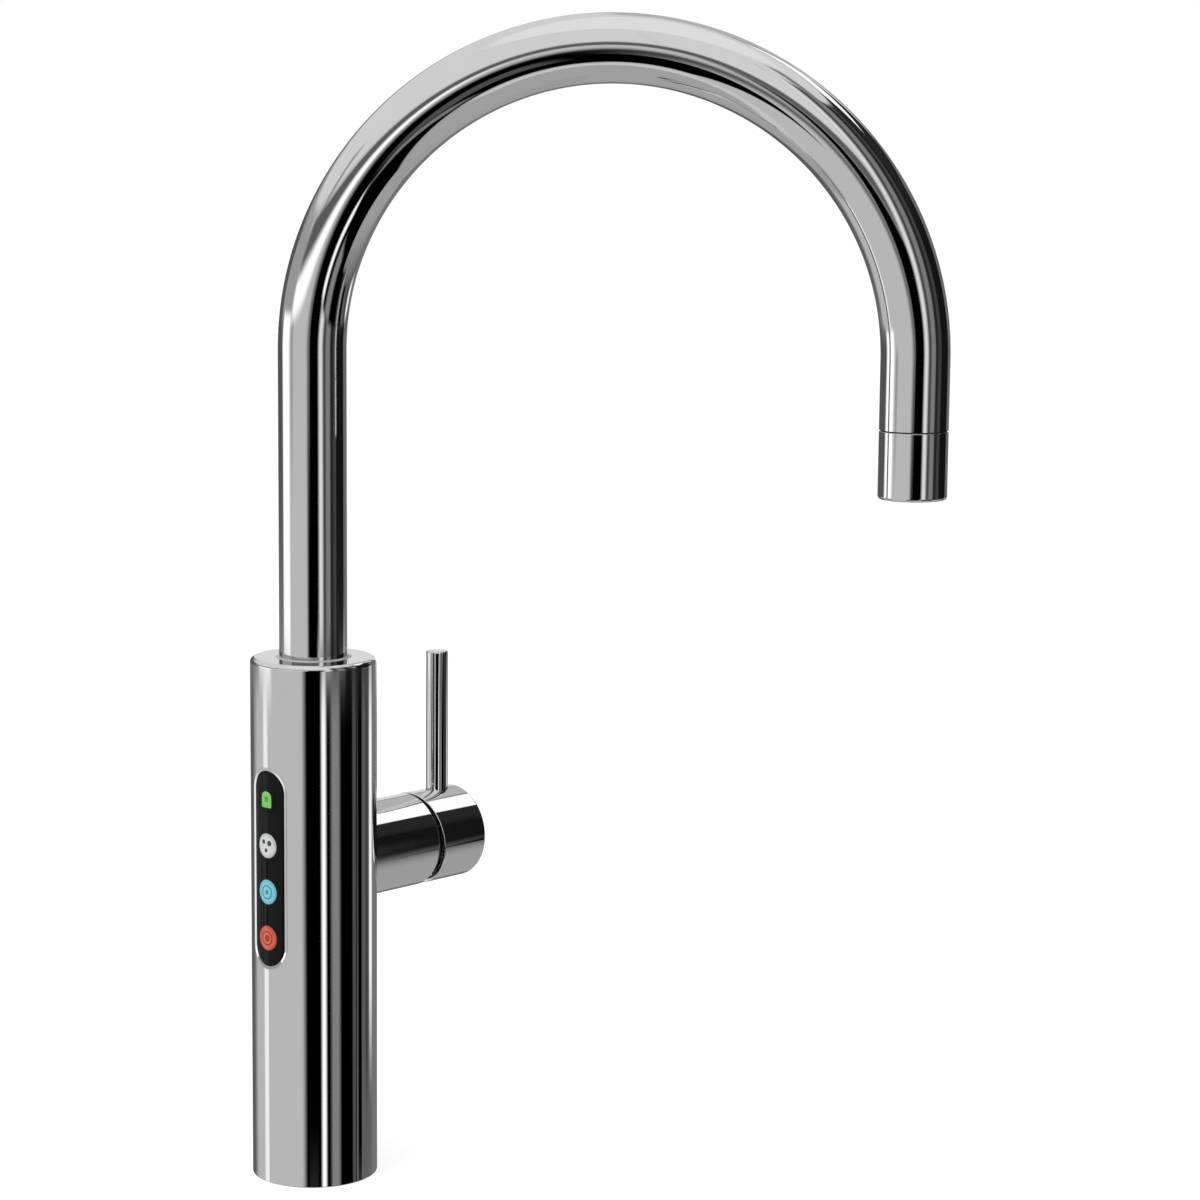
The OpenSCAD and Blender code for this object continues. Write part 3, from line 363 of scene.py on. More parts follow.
def surface(name, dark, light, grain, rough, bump=0.0, stretch=(1, 1, 1), detail=4, **sockets):
    """A material mottled from dark to light: grains per metre, roughness range, bump in metres."""
    material = bpy.data.materials.new(name)
    material.use_nodes = True
    tree = material.node_tree
    shader = tree.nodes["Principled BSDF"]
    for socket, value in sockets.items():
        shader.inputs[socket.replace("_", " ")].default_value = value
    where = tree.nodes.new("ShaderNodeTexCoord")
    laid = tree.nodes.new("ShaderNodeMapping")
    laid.inputs["Scale"].default_value = stretch
    tree.links.new(where.outputs["Object"], laid.inputs["Vector"])
    mottle = tree.nodes.new("ShaderNodeTexNoise")
    mottle.inputs["Scale"].default_value = grain
    mottle.inputs["Detail"].default_value = detail
    tree.links.new(laid.outputs[0], mottle.inputs["Vector"])
    colour = tree.nodes.new("ShaderNodeMix")
    colour.data_type = "RGBA"
    colour.inputs[6].default_value = (*dark, 1)
    colour.inputs[7].default_value = (*light, 1)
    tree.links.new(mottle.outputs["Fac"], colour.inputs[0])
    tree.links.new(colour.outputs[2], shader.inputs["Base Color"])
    smudge = tree.nodes.new("ShaderNodeTexNoise")
    smudge.inputs["Scale"].default_value = grain / 5
    tree.links.new(laid.outputs[0], smudge.inputs["Vector"])
    sheen = tree.nodes.new("ShaderNodeMapRange")
    sheen.inputs["To Min"].default_value, sheen.inputs["To Max"].default_value = rough
    tree.links.new(smudge.outputs["Fac"], sheen.inputs["Value"])
    tree.links.new(sheen.outputs[0], shader.inputs["Roughness"])
    if bump:
        relief = tree.nodes.new("ShaderNodeBump")
        relief.inputs["Distance"].default_value = bump
        tree.links.new(mottle.outputs["Fac"], relief.inputs["Height"])
        tree.links.new(relief.outputs[0], shader.inputs["Normal"])
    return material


chrome = surface(
    "chrome", (0.87, 0.875, 0.88), (0.91, 0.91, 0.915), 60, (0.03, 0.05), Metallic=1.0,
)

column = lathe([
    (COLUMN_R, 0, 0.3), (COLUMN_R, COLUMN_H, 2.0), (BUSH_HOLE_R, COLUMN_H, 0.3),
    (BUSH_HOLE_R, TOP_UNDERSIDE, 0), (SHELL_IR, TOP_UNDERSIDE, 0), (SHELL_IR, 0, 0),
], 288)
column = cut(column, place(
    stadium(OPENING_W, OPENING_H, INSIDE, OUTSIDE), swing(PANEL_TURN), shift(z=VALVE_Z)))
column = cut(column, place(
    rod(VALVE_HOLE_R, INSIDE, OUTSIDE), swing(VALVE_TURN), shift(z=VALVE_Z), swing(90, "Y")))
column = cut(column, place(
    rod(STOP_HOLE_R, INSIDE, OUTSIDE, 48), swing(STOP_TURN), shift(z=STOP_Z), swing(90, "Y")))
finish("chromed_column", column, chrome, "column", ["column_shell"])


# ---- bush and stop screw of the swivel ----
# The spout turns in a slim bush of pale acetal that stands 0.2 mm proud of the column's top,
# and a small steel grub screw in the column's back limits its turn.

white_plastic = surface(
    "white_acetal", (0.50, 0.50, 0.49), (0.58, 0.58, 0.57), 500, (0.30, 0.42), 0.000006,
)
BUSH_R, BUSH_IR = 14.7, 13.58
BUSH_FOOT, BUSH_TOP = 198.2, 210.2
bush = lathe([
    (BUSH_R, BUSH_FOOT, 0), (BUSH_R, BUSH_TOP, 0.15), (BUSH_IR, BUSH_TOP, 0.1),
    (BUSH_IR, BUSH_FOOT, 0),
])
finish("top_bush", bush, white_plastic, "column", ["upper_bush"])


def grub_screw(radius, length, hex_size):
    """A headless screw along Z, its end below z = 0 and its hexagon socket there."""
    screw = lathe([(0, -length, 0), (radius, -length, 0.5), (radius, 0, 0.35), (0, 0, 0)], 48)
    socket = bmesh.new()
    bmesh.ops.create_cone(
        socket, cap_ends=True, segments=6, radius1=hex_size / sqrt(3), radius2=hex_size / sqrt(3),
        depth=2 * hex_size,
    )
    return cut(screw, socket)


steel = surface(
    "stainless_steel", (0.50, 0.49, 0.47), (0.60, 0.59, 0.57), 700, (0.18, 0.32), 0.000004,
    Metallic=1.0,
)
STOP_R, STOP_L, STOP_HEX = 2.0, 9.0, 2.0
STOP_SUNK = 0.5   # below the column's surface
stop = place(
    grub_screw(STOP_R, STOP_L, STOP_HEX), swing(STOP_TURN),
    shift(x=COLUMN_R - STOP_SUNK, z=STOP_Z), swing(90, "Y"))
finish("stop_screw", stop, steel, "column", ["swivel_stop"])


# ---- spout tube ----
# One length of 27 mm brass tube, bent over a former into a high half circle, polished and
# chrome plated. Its foot is soldered to the spigot that turns in the column.

TUBE_R, TUBE_WALL = 13.5, 1.5
ARCH_R, ARCH_Z = 117.0, 331.0
TUBE_FOOT, TUBE_END = 188.0, 303.9

tube = bmesh.new()
bmesh.ops.create_circle(tube, segments=144, radius=TUBE_R)
bmesh.ops.translate(tube, verts=tube.verts[:], vec=(0, 0, TUBE_FOOT))


def draw_out(solid, edges, height):
    """Draws an open end of the tube straight along Z to the height."""
    grown = bmesh.ops.extrude_edge_only(solid, edges=edges)["geom"]
    ring = [part for part in grown if isinstance(part, bmesh.types.BMVert)]
    bmesh.ops.translate(solid, verts=ring, vec=(0, 0, height - ring[0].co.z))
    return [part for part in grown if isinstance(part, bmesh.types.BMEdge)]


end = tube.edges[:]
for height in (245, 300, ARCH_Z):
    end = draw_out(tube, end, height)
arch = bmesh.ops.spin(
    tube, geom=end, cent=(ARCH_R, 0, ARCH_Z), axis=(0, 1, 0), angle=pi, steps=144,
)
end = [part for part in arch["geom_last"] if isinstance(part, bmesh.types.BMEdge)]
draw_out(tube, end, TUBE_END)
bmesh.ops.remove_doubles(tube, verts=tube.verts[:], dist=1e-4)
bmesh.ops.recalc_face_normals(tube, faces=tube.faces[:])
bmesh.ops.solidify(tube, geom=tube.faces[:], thickness=TUBE_WALL)
finish("gooseneck_tube", tube, chrome, "spout", ["spout_tube"])


# ---- outlet ----
# A turned brass sleeve, chrome plated, is pushed into the tube's end over a black sealing ring
# that shows as a thin dark line. The aerator sits in it, a moulded grid over a steel screen.

OUTLET_X, OUTLET_Z = 2 * ARCH_R, 277.0
SHOULDER_Z, NECK_TOP = 303.4, 311.4   # the sleeve's visible top, and its neck's inside the tube
NECK_R, NECK_IR = 11.95, 8.0
AERATOR_TOP, AERATOR_HOLE_R = 290.8, 10.55
sleeve = lathe([
    (TUBE_R, OUTLET_Z, 1.3), (TUBE_R, SHOULDER_Z, 0.25), (NECK_R, SHOULDER_Z, 0),
    (NECK_R, NECK_TOP, 0.3), (NECK_IR, NECK_TOP, 0.3), (NECK_IR, AERATOR_TOP, 0),
    (AERATOR_HOLE_R, AERATOR_TOP, 0), (AERATOR_HOLE_R, OUTLET_Z, 0.4),
])
place(sleeve, shift(x=OUTLET_X))
finish("outlet_collar", sleeve, chrome, "spout", ["outlet_sleeve"])

rubber = surface(
    "black_rubber", (0.010, 0.010, 0.010), (0.022, 0.022, 0.021), 1500, (0.55, 0.72), 0.00002,
)
RING_IR, RING_R = 12.0, 12.9
ring = lathe([
    (RING_IR, SHOULDER_Z, 0), (RING_R, SHOULDER_Z, 0.15), (RING_R, TUBE_END, 0.15),
    (RING_IR, TUBE_END, 0),
], 144)
place(ring, shift(x=OUTLET_X))
finish("joint_ring", ring, rubber, "spout", ["outlet_seal"])

dark_plastic = surface(
    "dark_acetal", (0.012, 0.012, 0.013), (0.02, 0.02, 0.021), 900, (0.36, 0.46), 0.00001,
)
GRID_R, GRID_IR = 10.5, 9.0
GRID_FACE, GRID_BACK = 277.8, 280.8
grid = lathe([
    (0, GRID_FACE, 0), (GRID_R, GRID_FACE, 0.5), (GRID_R, AERATOR_TOP, 0.3),
    (GRID_IR, AERATOR_TOP, 0.2), (GRID_IR, GRID_BACK, 0.4), (0, GRID_BACK, 0),
], 96)
JET_R, JET_GAP = 1.1, 3.4   # the jets' radius and the distance between their centres
jets = bmesh.new()
for row in range(-2, 3):
    for place_in_row in range(5 - abs(row)):
        along = JET_GAP * (place_in_row - (4 - abs(row)) / 2)
        bmesh.ops.create_cone(
            jets, cap_ends=True, segments=24, radius1=JET_R, radius2=JET_R, depth=8,
            matrix=shift(along, row * JET_GAP * sqrt(3) / 2, 279),
        )
grid = place(cut(grid, jets), shift(x=OUTLET_X))
finish("aerator_grid", grid, dark_plastic, "spout", ["aerator_body"])


# ---- side valve sleeve ----
# A short chromed sleeve, 38 mm across, covers the cartridge's housing. Its inner end is
# mitred to the column's curve, and its outer end turns in to a lip round the retaining nut.

VALVE_R, SLEEVE_IR, LIP_IR = 19.0, 17.2, 15.6
SLEEVE_FOOT, LIP_FOOT, SLEEVE_END = 13, 50.7, 51.7   # along the valve, from the column's middle


def on_valve(solid):
    """Turns a solid made along Z to the side valve's axis."""
    return place(solid, swing(VALVE_TURN), shift(z=VALVE_Z), swing(90, "Y"))


sleeve = on_valve(lathe([
    (VALVE_R, SLEEVE_FOOT, 0), (VALVE_R, SLEEVE_END, 0.5), (LIP_IR, SLEEVE_END, 0.2),
    (LIP_IR, LIP_FOOT, 0), (SLEEVE_IR, LIP_FOOT, 0), (SLEEVE_IR, SLEEVE_FOOT, 0),
], 256))
sleeve = cut(sleeve, rod(COLUMN_R + 0.05, 90, 170, 360))
finish("valve_sleeve", sleeve, chrome, "column", ["side_sleeve"])


# ---- lever hub ----
# A chromed cap over the cartridge's spindle. The hub's rim is slanted: the gap to the sleeve
# widens downwards, which leaves the room that the lever needs to tilt.

HUB_IR, HUB_FLOOR, HUB_END = 17.4, 60.3, 78.3
HUB_BLANK = 45.0                        # where the hub starts before its rim is cut
RIM_TOP, RIM_SLANT = 53.2, 4.364        # the rim's upper end, and its slant in degrees
SPINDLE_HOLE_R, SPINDLE_HOLE_END = 3.55, 67.5
PIN_X, PIN_HOLE_R, PIN_FOOT = 68.5, 4.55, 10.0
SCREW_X, SCREW_R, SCREW_L, SCREW_HEX = 63.9, 2.5, 8.0, 2.5
SCREW_HOLE_R, SCREW_END = 2.55, 11.55   # below the valve's axis
hub = lathe([
    (0, HUB_FLOOR, 0), (HUB_IR, HUB_FLOOR, 0.4), (HUB_IR, HUB_BLANK, 0), (VALVE_R, HUB_BLANK, 0),
    (VALVE_R, HUB_END, 1.0), (0, HUB_END, 0),
], 256)
place(hub, shift(z=VALVE_Z), swing(90, "Y"))
slant = Matrix.Rotation(radians(-RIM_SLANT), 3, "Y")
bmesh.ops.bisect_plane(
    hub, geom=hub.verts[:] + hub.edges[:] + hub.faces[:], clear_inner=True,
    plane_co=(RIM_TOP, 0, VALVE_Z + VALVE_R), plane_no=slant.col[0],
)
open_edges = [edge for edge in hub.edges if edge.is_boundary]
rim = bmesh.ops.bridge_loops(hub, edges=open_edges)["faces"]
rim_edges = {edge for face in rim for edge in face.edges if edge in set(open_edges)}
bmesh.ops.bevel(
    hub, geom=list(rim_edges), offset=0.35, offset_type="OFFSET", segments=4, profile=0.5,
    affect="EDGES", material=-1,
)
bmesh.ops.recalc_face_normals(hub, faces=hub.faces[:])
hub = cut(hub, place(
    rod(SPINDLE_HOLE_R, 50, SPINDLE_HOLE_END, 64), shift(z=VALVE_Z), swing(90, "Y")))
hub = cut(hub, place(rod(PIN_HOLE_R, PIN_FOOT, 40, 96), shift(x=PIN_X, z=VALVE_Z)))
hub = cut(hub, place(rod(SCREW_HOLE_R, -40, 0, 64), shift(x=SCREW_X, z=VALVE_Z)))
place(hub, swing(VALVE_TURN))
finish("lever_cap", hub, chrome, "lever", ["lever_hub"])

screw = place(
    grub_screw(SCREW_R, SCREW_L, SCREW_HEX), swing(VALVE_TURN),
    shift(x=SCREW_X, z=VALVE_Z - SCREW_END), swing(180, "X"))
finish("lever_grub_screw", screw, steel, "lever", ["hub_screw"])


# ---- lever pin ----
# The handle is a plain upright pin, 9 mm thick, turned from brass bar, chrome plated and
# pressed into the hub. Its top edge is rounded.

PIN_R, PIN_TOP = 4.5, 76.5
pin = lathe([(0, PIN_FOOT, 0), (PIN_R, PIN_FOOT, 0.4), (PIN_R, PIN_TOP, 0.8), (0, PIN_TOP, 0)], 128)
place(pin, swing(VALVE_TURN), shift(x=PIN_X, z=VALVE_Z))
finish("lever_handle", pin, chrome, "lever", ["lever_pin"])


# ---- key panel ----
# An upright window with round ends in the column, framed by a slim chromed trim. Its cover is
# gloss black acrylic, moulded to the column's curve, with two fine scored lines between keys.

PANEL_W, PANEL_H, TRIM_W = 19.0, 81.0, 1.2
TRIM_BACK, TRIM_FRONT = 23.0, 25.1
TRIM_DIP = 0.42                    # how far the trim's face dips towards the cover
STRAIGHT_H = PANEL_H - PANEL_W     # between the centres of its round ends
KEY_PITCH, KEY_HOLE_R = 18.6, 5.1
KEY_Z = [VALVE_Z + steps_up * KEY_PITCH for steps_up in (1.5, 0.5, -0.5, -1.5)]


def wrap(solid, radius, beyond=0):
    """Bends the plane x = radius round the column, past x = beyond, and turns all to the panel."""
    for point in solid.verts:
        if point.co.x > beyond:
            point.co.x += sqrt(radius**2 - point.co.y**2) - radius
    return place(solid, swing(PANEL_TURN))


def open_middle(solid):
    """Opens the inset middle of the solid's front and back to a window, and walls the window."""
    middles = [face for face in solid.faces if abs(face.normal.x) > 0.9 and len(face.verts) > 8]
    edges = [edge for face in middles for edge in face.edges]
    bmesh.ops.delete(solid, geom=middles, context="FACES_ONLY")
    bmesh.ops.bridge_loops(solid, edges=edges)


trim = stadium(PANEL_W, PANEL_H, TRIM_BACK, TRIM_FRONT, 24)
front = [face for face in trim.faces if face.normal.x > 0.9]
bmesh.ops.inset_region(trim, faces=front, thickness=TRIM_W, use_even_offset=True)
back = [face for face in trim.faces if face.normal.x < -0.9]
bmesh.ops.inset_region(trim, faces=back, thickness=TRIM_W, use_even_offset=True)
open_middle(trim)
inner_edge = [
    point for point in trim.verts
    if point.co.x > TRIM_FRONT - 0.05
    and hypot(point.co.y, max(abs(point.co.z) - STRAIGHT_H / 2, 0)) < (PANEL_W - TRIM_W) / 2
]
bmesh.ops.translate(trim, verts=inner_edge, vec=(-TRIM_DIP, 0, 0))
front_edges = [
    edge for edge in trim.edges
    if edge.calc_face_angle(0) > 0.9
    and min(point.co.x for point in edge.verts) > TRIM_FRONT - 0.05
]
bmesh.ops.bevel(
    trim, geom=front_edges, offset=0.15, offset_type="OFFSET", segments=3, profile=0.5,
    affect="EDGES", material=-1,
)
bmesh.ops.recalc_face_normals(trim, faces=trim.faces[:])
place(trim, shift(z=VALVE_Z))
finish("panel_frame", wrap(trim, TRIM_FRONT), chrome, "column", ["panel_trim"])

gloss_black = surface(
    "gloss_black_acrylic", (0.005, 0.005, 0.0055), (0.007, 0.007, 0.0075), 300, (0.08, 0.13),
    Specular_IOR_Level=0.12,
)


def joined(*solids):
    """Several solids as one mesh."""
    whole = bmesh.new()
    for solid in solids:
        mesh = bpy.data.meshes.new("part")
        solid.to_mesh(mesh)
        solid.free()
        whole.from_mesh(mesh)
        bpy.data.meshes.remove(mesh)
    return whole


def curved_plate(inner, outer, low, high):
    """A wall of the column's curve between two radii."""
    return lathe([(inner, low, 0), (outer, low, 0), (outer, high, 0), (inner, high, 0)], 720)


COVER_W, COVER_H, COVER_IR = 16.5, 78.5, 21.7
ROLL = 1.1   # radius of the cover's rolled edge
border = stadium(COVER_W, COVER_H, COVER_IR, COLUMN_R, 24)
front_edges = [
    edge for edge in border.edges if min(point.co.x for point in edge.verts) > COLUMN_R - 0.1
]
bmesh.ops.bevel(
    border, geom=front_edges, offset=ROLL, offset_type="OFFSET", segments=6, profile=0.5,
    affect="EDGES", material=-1,
)
back = [face for face in border.faces if face.normal.x < -0.9]
bmesh.ops.inset_region(border, faces=back, thickness=ROLL, use_even_offset=True)
open_middle(border)
bmesh.ops.recalc_face_normals(border, faces=border.faces[:])
place(border, shift(z=VALVE_Z))
inside_border = stadium(COVER_W - 2 * ROLL, COVER_H - 2 * ROLL, INSIDE, OUTSIDE, 24)
cover = cut(
    curved_plate(COVER_IR, COLUMN_R, VALVE_Z - PANEL_H / 2, VALVE_Z + PANEL_H / 2),
    place(inside_border, shift(z=VALVE_Z)), "INTERSECT",
)
for key_z in KEY_Z:
    cover = cut(
        cover, place(rod(KEY_HOLE_R, INSIDE, OUTSIDE), shift(z=key_z), swing(90, "Y")))
LINE_W, LINE_L = 0.8, 11.0   # the scored lines, above the two lower keys
for key_z in KEY_Z[2:]:
    line = bmesh.new()
    bmesh.ops.create_cube(line, size=1, matrix=(
        shift(COLUMN_R, 0, key_z + KEY_PITCH / 2) @ Matrix.Diagonal((LINE_W, LINE_W, LINE_L, 1))))
    bmesh.ops.bevel(
        line, geom=line.edges[:], offset=0.12, offset_type="OFFSET", segments=2, profile=0.5,
        affect="EDGES", material=-1,
    )
    cover = cut(cover, line)
cover = joined(place(cover, swing(PANEL_TURN)), wrap(border, COLUMN_R))
finish("panel_window", cover, gloss_black, "column", ["panel_cover"])


# ---- keys ----
# Four round keys, 10 mm across and moulded in gloss plastic, stand a hair proud of the cover.
# A flange behind the cover holds each. The lock key is black, the others white, pale blue and red,
# with shade painted darker round their rims.

KEY_R, KEY_FACE = 5.0, 25.2
FLANGE_R, FLANGE_BACK, FLANGE_FRONT = 5.8, 19.91, 20.71
RIM_SHADE_R, FACE_COLOUR_R = 5.0, 3.0   # where the painted rim shade is full, and where the key's own colour is full


def place_on_column(height):
    """The point in metres on the middle of the key panel at this height."""
    return swing(PANEL_TURN) @ Matrix.Translation((KEY_FACE / 1000, 0, height / 1000)).translation


def shaded_key_colour(name, rim, face, key_z):
    """Gloss plastic in the key's own colour in the middle, with painted shade darkening it towards
    the rim.
    """
    material = surface(
        name, rim, face, 500, (0.16, 0.24), 0.000002, Coat_Weight=0.4, Coat_Roughness=0.05,
    )
    tree = material.node_tree
    colour = next(node for node in tree.nodes if node.type == "MIX")
    middle = place_on_column(key_z)
    away = tree.nodes.new("ShaderNodeVectorMath")
    away.operation = "DISTANCE"
    away.inputs[1].default_value = middle
    where = next(node for node in tree.nodes if node.type == "TEX_COORD")
    tree.links.new(where.outputs["Object"], away.inputs[0])
    # painted shade: the key's colour darkens from the middle out to the rim
    rim_shade_fade = tree.nodes.new("ShaderNodeMapRange")
    rim_shade_fade.interpolation_type = "SMOOTHSTEP"
    rim_shade_fade.inputs["From Min"].default_value = RIM_SHADE_R / 1000
    rim_shade_fade.inputs["From Max"].default_value = FACE_COLOUR_R / 1000
    tree.links.new(away.outputs["Value"], rim_shade_fade.inputs["Value"])
    tree.links.new(rim_shade_fade.outputs[0], colour.inputs[0])
    return material


def key_cap(key_z):
    """A flanged disc with a rounded edge, its face in rings so that it can follow the column."""
    outline = [
        (0, FLANGE_BACK, 0), (FLANGE_R, FLANGE_BACK, 0.15), (FLANGE_R, FLANGE_FRONT, 0.15),
        (KEY_R, FLANGE_FRONT, 0), (KEY_R, KEY_FACE, 0.4),
    ]
    outline += [(ring_r, KEY_FACE, 0) for ring_r in (4.4, 4.0, 3.2, 2.4, 1.6, 0.8, 0)]
    cap = place(lathe(outline, 96), shift(z=key_z), swing(90, "Y"))
    return wrap(cap, KEY_FACE, FLANGE_FRONT + 0.1)


# each pair is the key's painted-shade rim colour, then its own colour in the middle
white_key = shaded_key_colour("white_key", (0.52, 0.53, 0.54), (0.74, 0.75, 0.76), KEY_Z[1])
blue_key = shaded_key_colour("pale_blue_key", (0.14, 0.50, 0.63), (0.24, 0.66, 0.78), KEY_Z[2])
red_key = shaded_key_colour("red_key", (0.52, 0.06, 0.04), (0.78, 0.12, 0.05), KEY_Z[3])
finish(
    "lock_button_cap", key_cap(KEY_Z[0]), gloss_black, "lock_button", ["lock_key"])
finish(
    "sparkling_button_cap", key_cap(KEY_Z[1]), white_key, "sparkling_button",
    ["sparkling_key"])
finish(
    "chilled_button_cap", key_cap(KEY_Z[2]), blue_key, "chilled_button", ["chilled_key"])
finish(
    "boiling_button_cap", key_cap(KEY_Z[3]), red_key, "boiling_button", ["boiling_key"])


# ---- marks on the keys ----
# Plain marks inlaid in the keys' faces in a second plastic: a green block with a round top and
# a darker dot for the lock, three dark bubbles, a blue ring and dot, and a dark red ring and dot.

MARK_FACE, MARK_DEPTH = 25.23, 0.4
BLOCK_W, BLOCK_H = 5.4, 6.4
DOT_R, DOT_Z = 1.15, KEY_Z[0] + 0.2
BUBBLES = [(0.9, -1.7, 1.5), (1.1, 1.5, 1.2), (0.8, -0.3, -1.8)]   # radius and place on the key


def mark_ring(outer, inner, y, z):
    """A flat ring, or a dot where inner is 0, on the key's face."""
    back = MARK_FACE - MARK_DEPTH
    outline = [(inner, back, 0), (outer, back, 0), (outer, MARK_FACE, 0)]
    outline += [(inner + share * (outer - inner), MARK_FACE, 0) for share in (0.75, 0.5, 0.25, 0)]
    return wrap(place(lathe(outline, 64), shift(y=y, z=z), swing(90, "Y")), MARK_FACE)


print_green = surface(
    "green_mark", (0.16, 0.55, 0.10), (0.24, 0.70, 0.15), 1200, (0.2, 0.3), 0.000002)
print_leaf = surface(
    "deep_green_mark", (0.05, 0.33, 0.03), (0.08, 0.42, 0.05), 1200, (0.2, 0.3), 0.000002)
print_grey = surface(
    "dark_mark", (0.030, 0.030, 0.032), (0.045, 0.045, 0.048), 1200, (0.2, 0.3), 0.000002)
print_teal = surface(
    "teal_mark", (0.035, 0.27, 0.40), (0.05, 0.33, 0.47), 1200, (0.2, 0.3), 0.000002)
print_red = surface(
    "dark_red_mark", (0.32, 0.02, 0.015), (0.40, 0.03, 0.02), 1200, (0.2, 0.3), 0.000002)

block = bmesh.new()
corners = [(-BLOCK_W, -BLOCK_H), (BLOCK_W, -BLOCK_H), (BLOCK_W, BLOCK_H), (-BLOCK_W, BLOCK_H)]
points = [block.verts.new((INSIDE, y / 2, z / 2)) for y, z in corners]
block.faces.new(points)
for bevelled, radius in ((points[:2], 0.5), (points[2:], 2.4)):
    bmesh.ops.bevel(
        block, geom=bevelled, offset=radius, offset_type="OFFSET", segments=10, profile=0.5,
        affect="VERTICES", material=-1,
    )
grown = bmesh.ops.extrude_face_region(block, geom=block.faces[:])["geom"]
moved = [part for part in grown if isinstance(part, bmesh.types.BMVert)]
bmesh.ops.translate(block, verts=moved, vec=(OUTSIDE - INSIDE, 0, 0))
bmesh.ops.recalc_face_normals(block, faces=block.faces[:])
block = cut(
    curved_plate(MARK_FACE - MARK_DEPTH, MARK_FACE, KEY_Z[0] - BLOCK_H, KEY_Z[0] + BLOCK_H),
    place(block, shift(z=KEY_Z[0])), "INTERSECT",
)
block = cut(block, place(rod(DOT_R, INSIDE, OUTSIDE, 64), shift(z=DOT_Z), swing(90, "Y")))
finish(
    "lock_mark", place(block, swing(PANEL_TURN)), print_green, "lock_button", ["lock_icon"])
finish(
    "lock_dot", mark_ring(DOT_R, 0, 0, DOT_Z), print_leaf, "lock_button", ["lock_icon"])
bubbles = joined(*(mark_ring(radius, 0, y, KEY_Z[1] + z) for radius, y, z in BUBBLES))
finish("bubble_marks", bubbles, print_grey, "sparkling_button", ["sparkling_icon"])
chill = joined(mark_ring(2.9, 2.3, 0, KEY_Z[2]), mark_ring(1.0, 0, 0, KEY_Z[2]))
finish("chilled_mark", chill, print_teal, "chilled_button", ["chilled_icon"])
boil = joined(mark_ring(3.0, 2.4, 0, KEY_Z[3]), mark_ring(1.4, 0, 0, KEY_Z[3]))
finish("boiling_mark", boil, print_red, "boiling_button", ["boiling_icon"])


# ---- fixing under the worktop ----
# A threaded brass shank reaches down through a 35 mm hole. A rubber washer, a steel washer
# and a chamfered hexagon nut clamp the tap to a 30 mm worktop from below.

brass = surface(
    "turned_brass", (0.60, 0.41, 0.17), (0.70, 0.50, 0.23), 160, (0.20, 0.34), 0.000004,
    (1, 1, 12), Metallic=1.0,
)
SHANK_R, SHANK_IR = 16.5, 14.0
PITCH, THREAD_DEPTH, TURNS = 2.0, 1.0, 33
LOW, THREAD_TOP, HIGH = -70.0, -8.0, 7.5   # the shank's end, its plain part's foot and its top

shank = bmesh.new()
root_r = SHANK_R - THREAD_DEPTH
flank = [(root_r, 0), (SHANK_R, 0.44), (SHANK_R, 0.56), (root_r, 1)]   # radius, share of the pitch
points = [shank.verts.new((radius, 0, LOW - PITCH + share * PITCH)) for radius, share in flank]
edges = [shank.edges.new(pair) for pair in zip(points, points[1:])]
bmesh.ops.spin(
    shank, geom=points + edges, cent=(0, 0, 0), axis=(0, 0, 1),
    dvec=(0, 0, PITCH / 60), angle=2 * pi * TURNS, steps=60 * TURNS,
)
bmesh.ops.remove_doubles(shank, verts=shank.verts[:], dist=1e-3)
for height, side in ((LOW, -1), (THREAD_TOP, 1)):
    bmesh.ops.bisect_plane(
        shank, geom=shank.verts[:] + shank.edges[:] + shank.faces[:], dist=1e-5,
        plane_co=(0, 0, height), plane_no=(0, 0, side), clear_outer=True,
    )
ends = [edge for edge in shank.edges if edge.is_boundary]
for height in (LOW, THREAD_TOP):
    edge_ring = [edge for edge in ends if abs(edge.verts[0].co.z - height) < 0.01]
    grown = bmesh.ops.extrude_edge_only(shank, edges=edge_ring)["geom"]
    inward = [part for part in grown if isinstance(part, bmesh.types.BMVert)]
    radius = SHANK_IR if height == LOW else SHANK_R
    for point in inward:
        point.co.xy = point.co.xy.normalized() * radius
    if height == THREAD_TOP:
        rims = [part for part in grown if isinstance(part, bmesh.types.BMEdge)]
        for radius in (SHANK_R, SHANK_IR):
            grown = bmesh.ops.extrude_edge_only(shank, edges=rims)["geom"]
            rims = [part for part in grown if isinstance(part, bmesh.types.BMEdge)]
            for point in (part for part in grown if isinstance(part, bmesh.types.BMVert)):
                point.co.xy = point.co.xy.normalized() * radius
                point.co.z = HIGH
bmesh.ops.bridge_loops(shank, edges=[edge for edge in shank.edges if edge.is_boundary])
bmesh.ops.recalc_face_normals(shank, faces=shank.faces[:])
finish("threaded_shank", shank, brass, "column", ["deck_shank"])

NUT_FLATS, NUT_H, NUT_Z = 46.0, 10.0, -40.0   # across its flats, and its middle's height


def barrel(end_r, middle_r, straight):
    """A turned blank round the nut's middle, 1 mm longer each way, coned towards its ends."""
    half = NUT_H / 2 + 1
    return place(lathe([
        (0, -half, 0), (end_r, -half, 0), (middle_r, -straight, 0), (middle_r, straight, 0),
        (end_r, half, 0), (0, half, 0),
    ], 144), shift(z=NUT_Z))


nut = bmesh.new()
bmesh.ops.create_cone(
    nut, cap_ends=True, segments=6, radius1=NUT_FLATS / sqrt(3), radius2=NUT_FLATS / sqrt(3),
    depth=NUT_H, matrix=shift(z=NUT_Z),
)
nut = cut(cut(nut, barrel(22.6, 27.4, 3.2), "INTERSECT"), barrel(18.2, SHANK_R + 0.05, 4.2))
finish("clamp_nut", nut, brass, "column", ["shank_nut"])

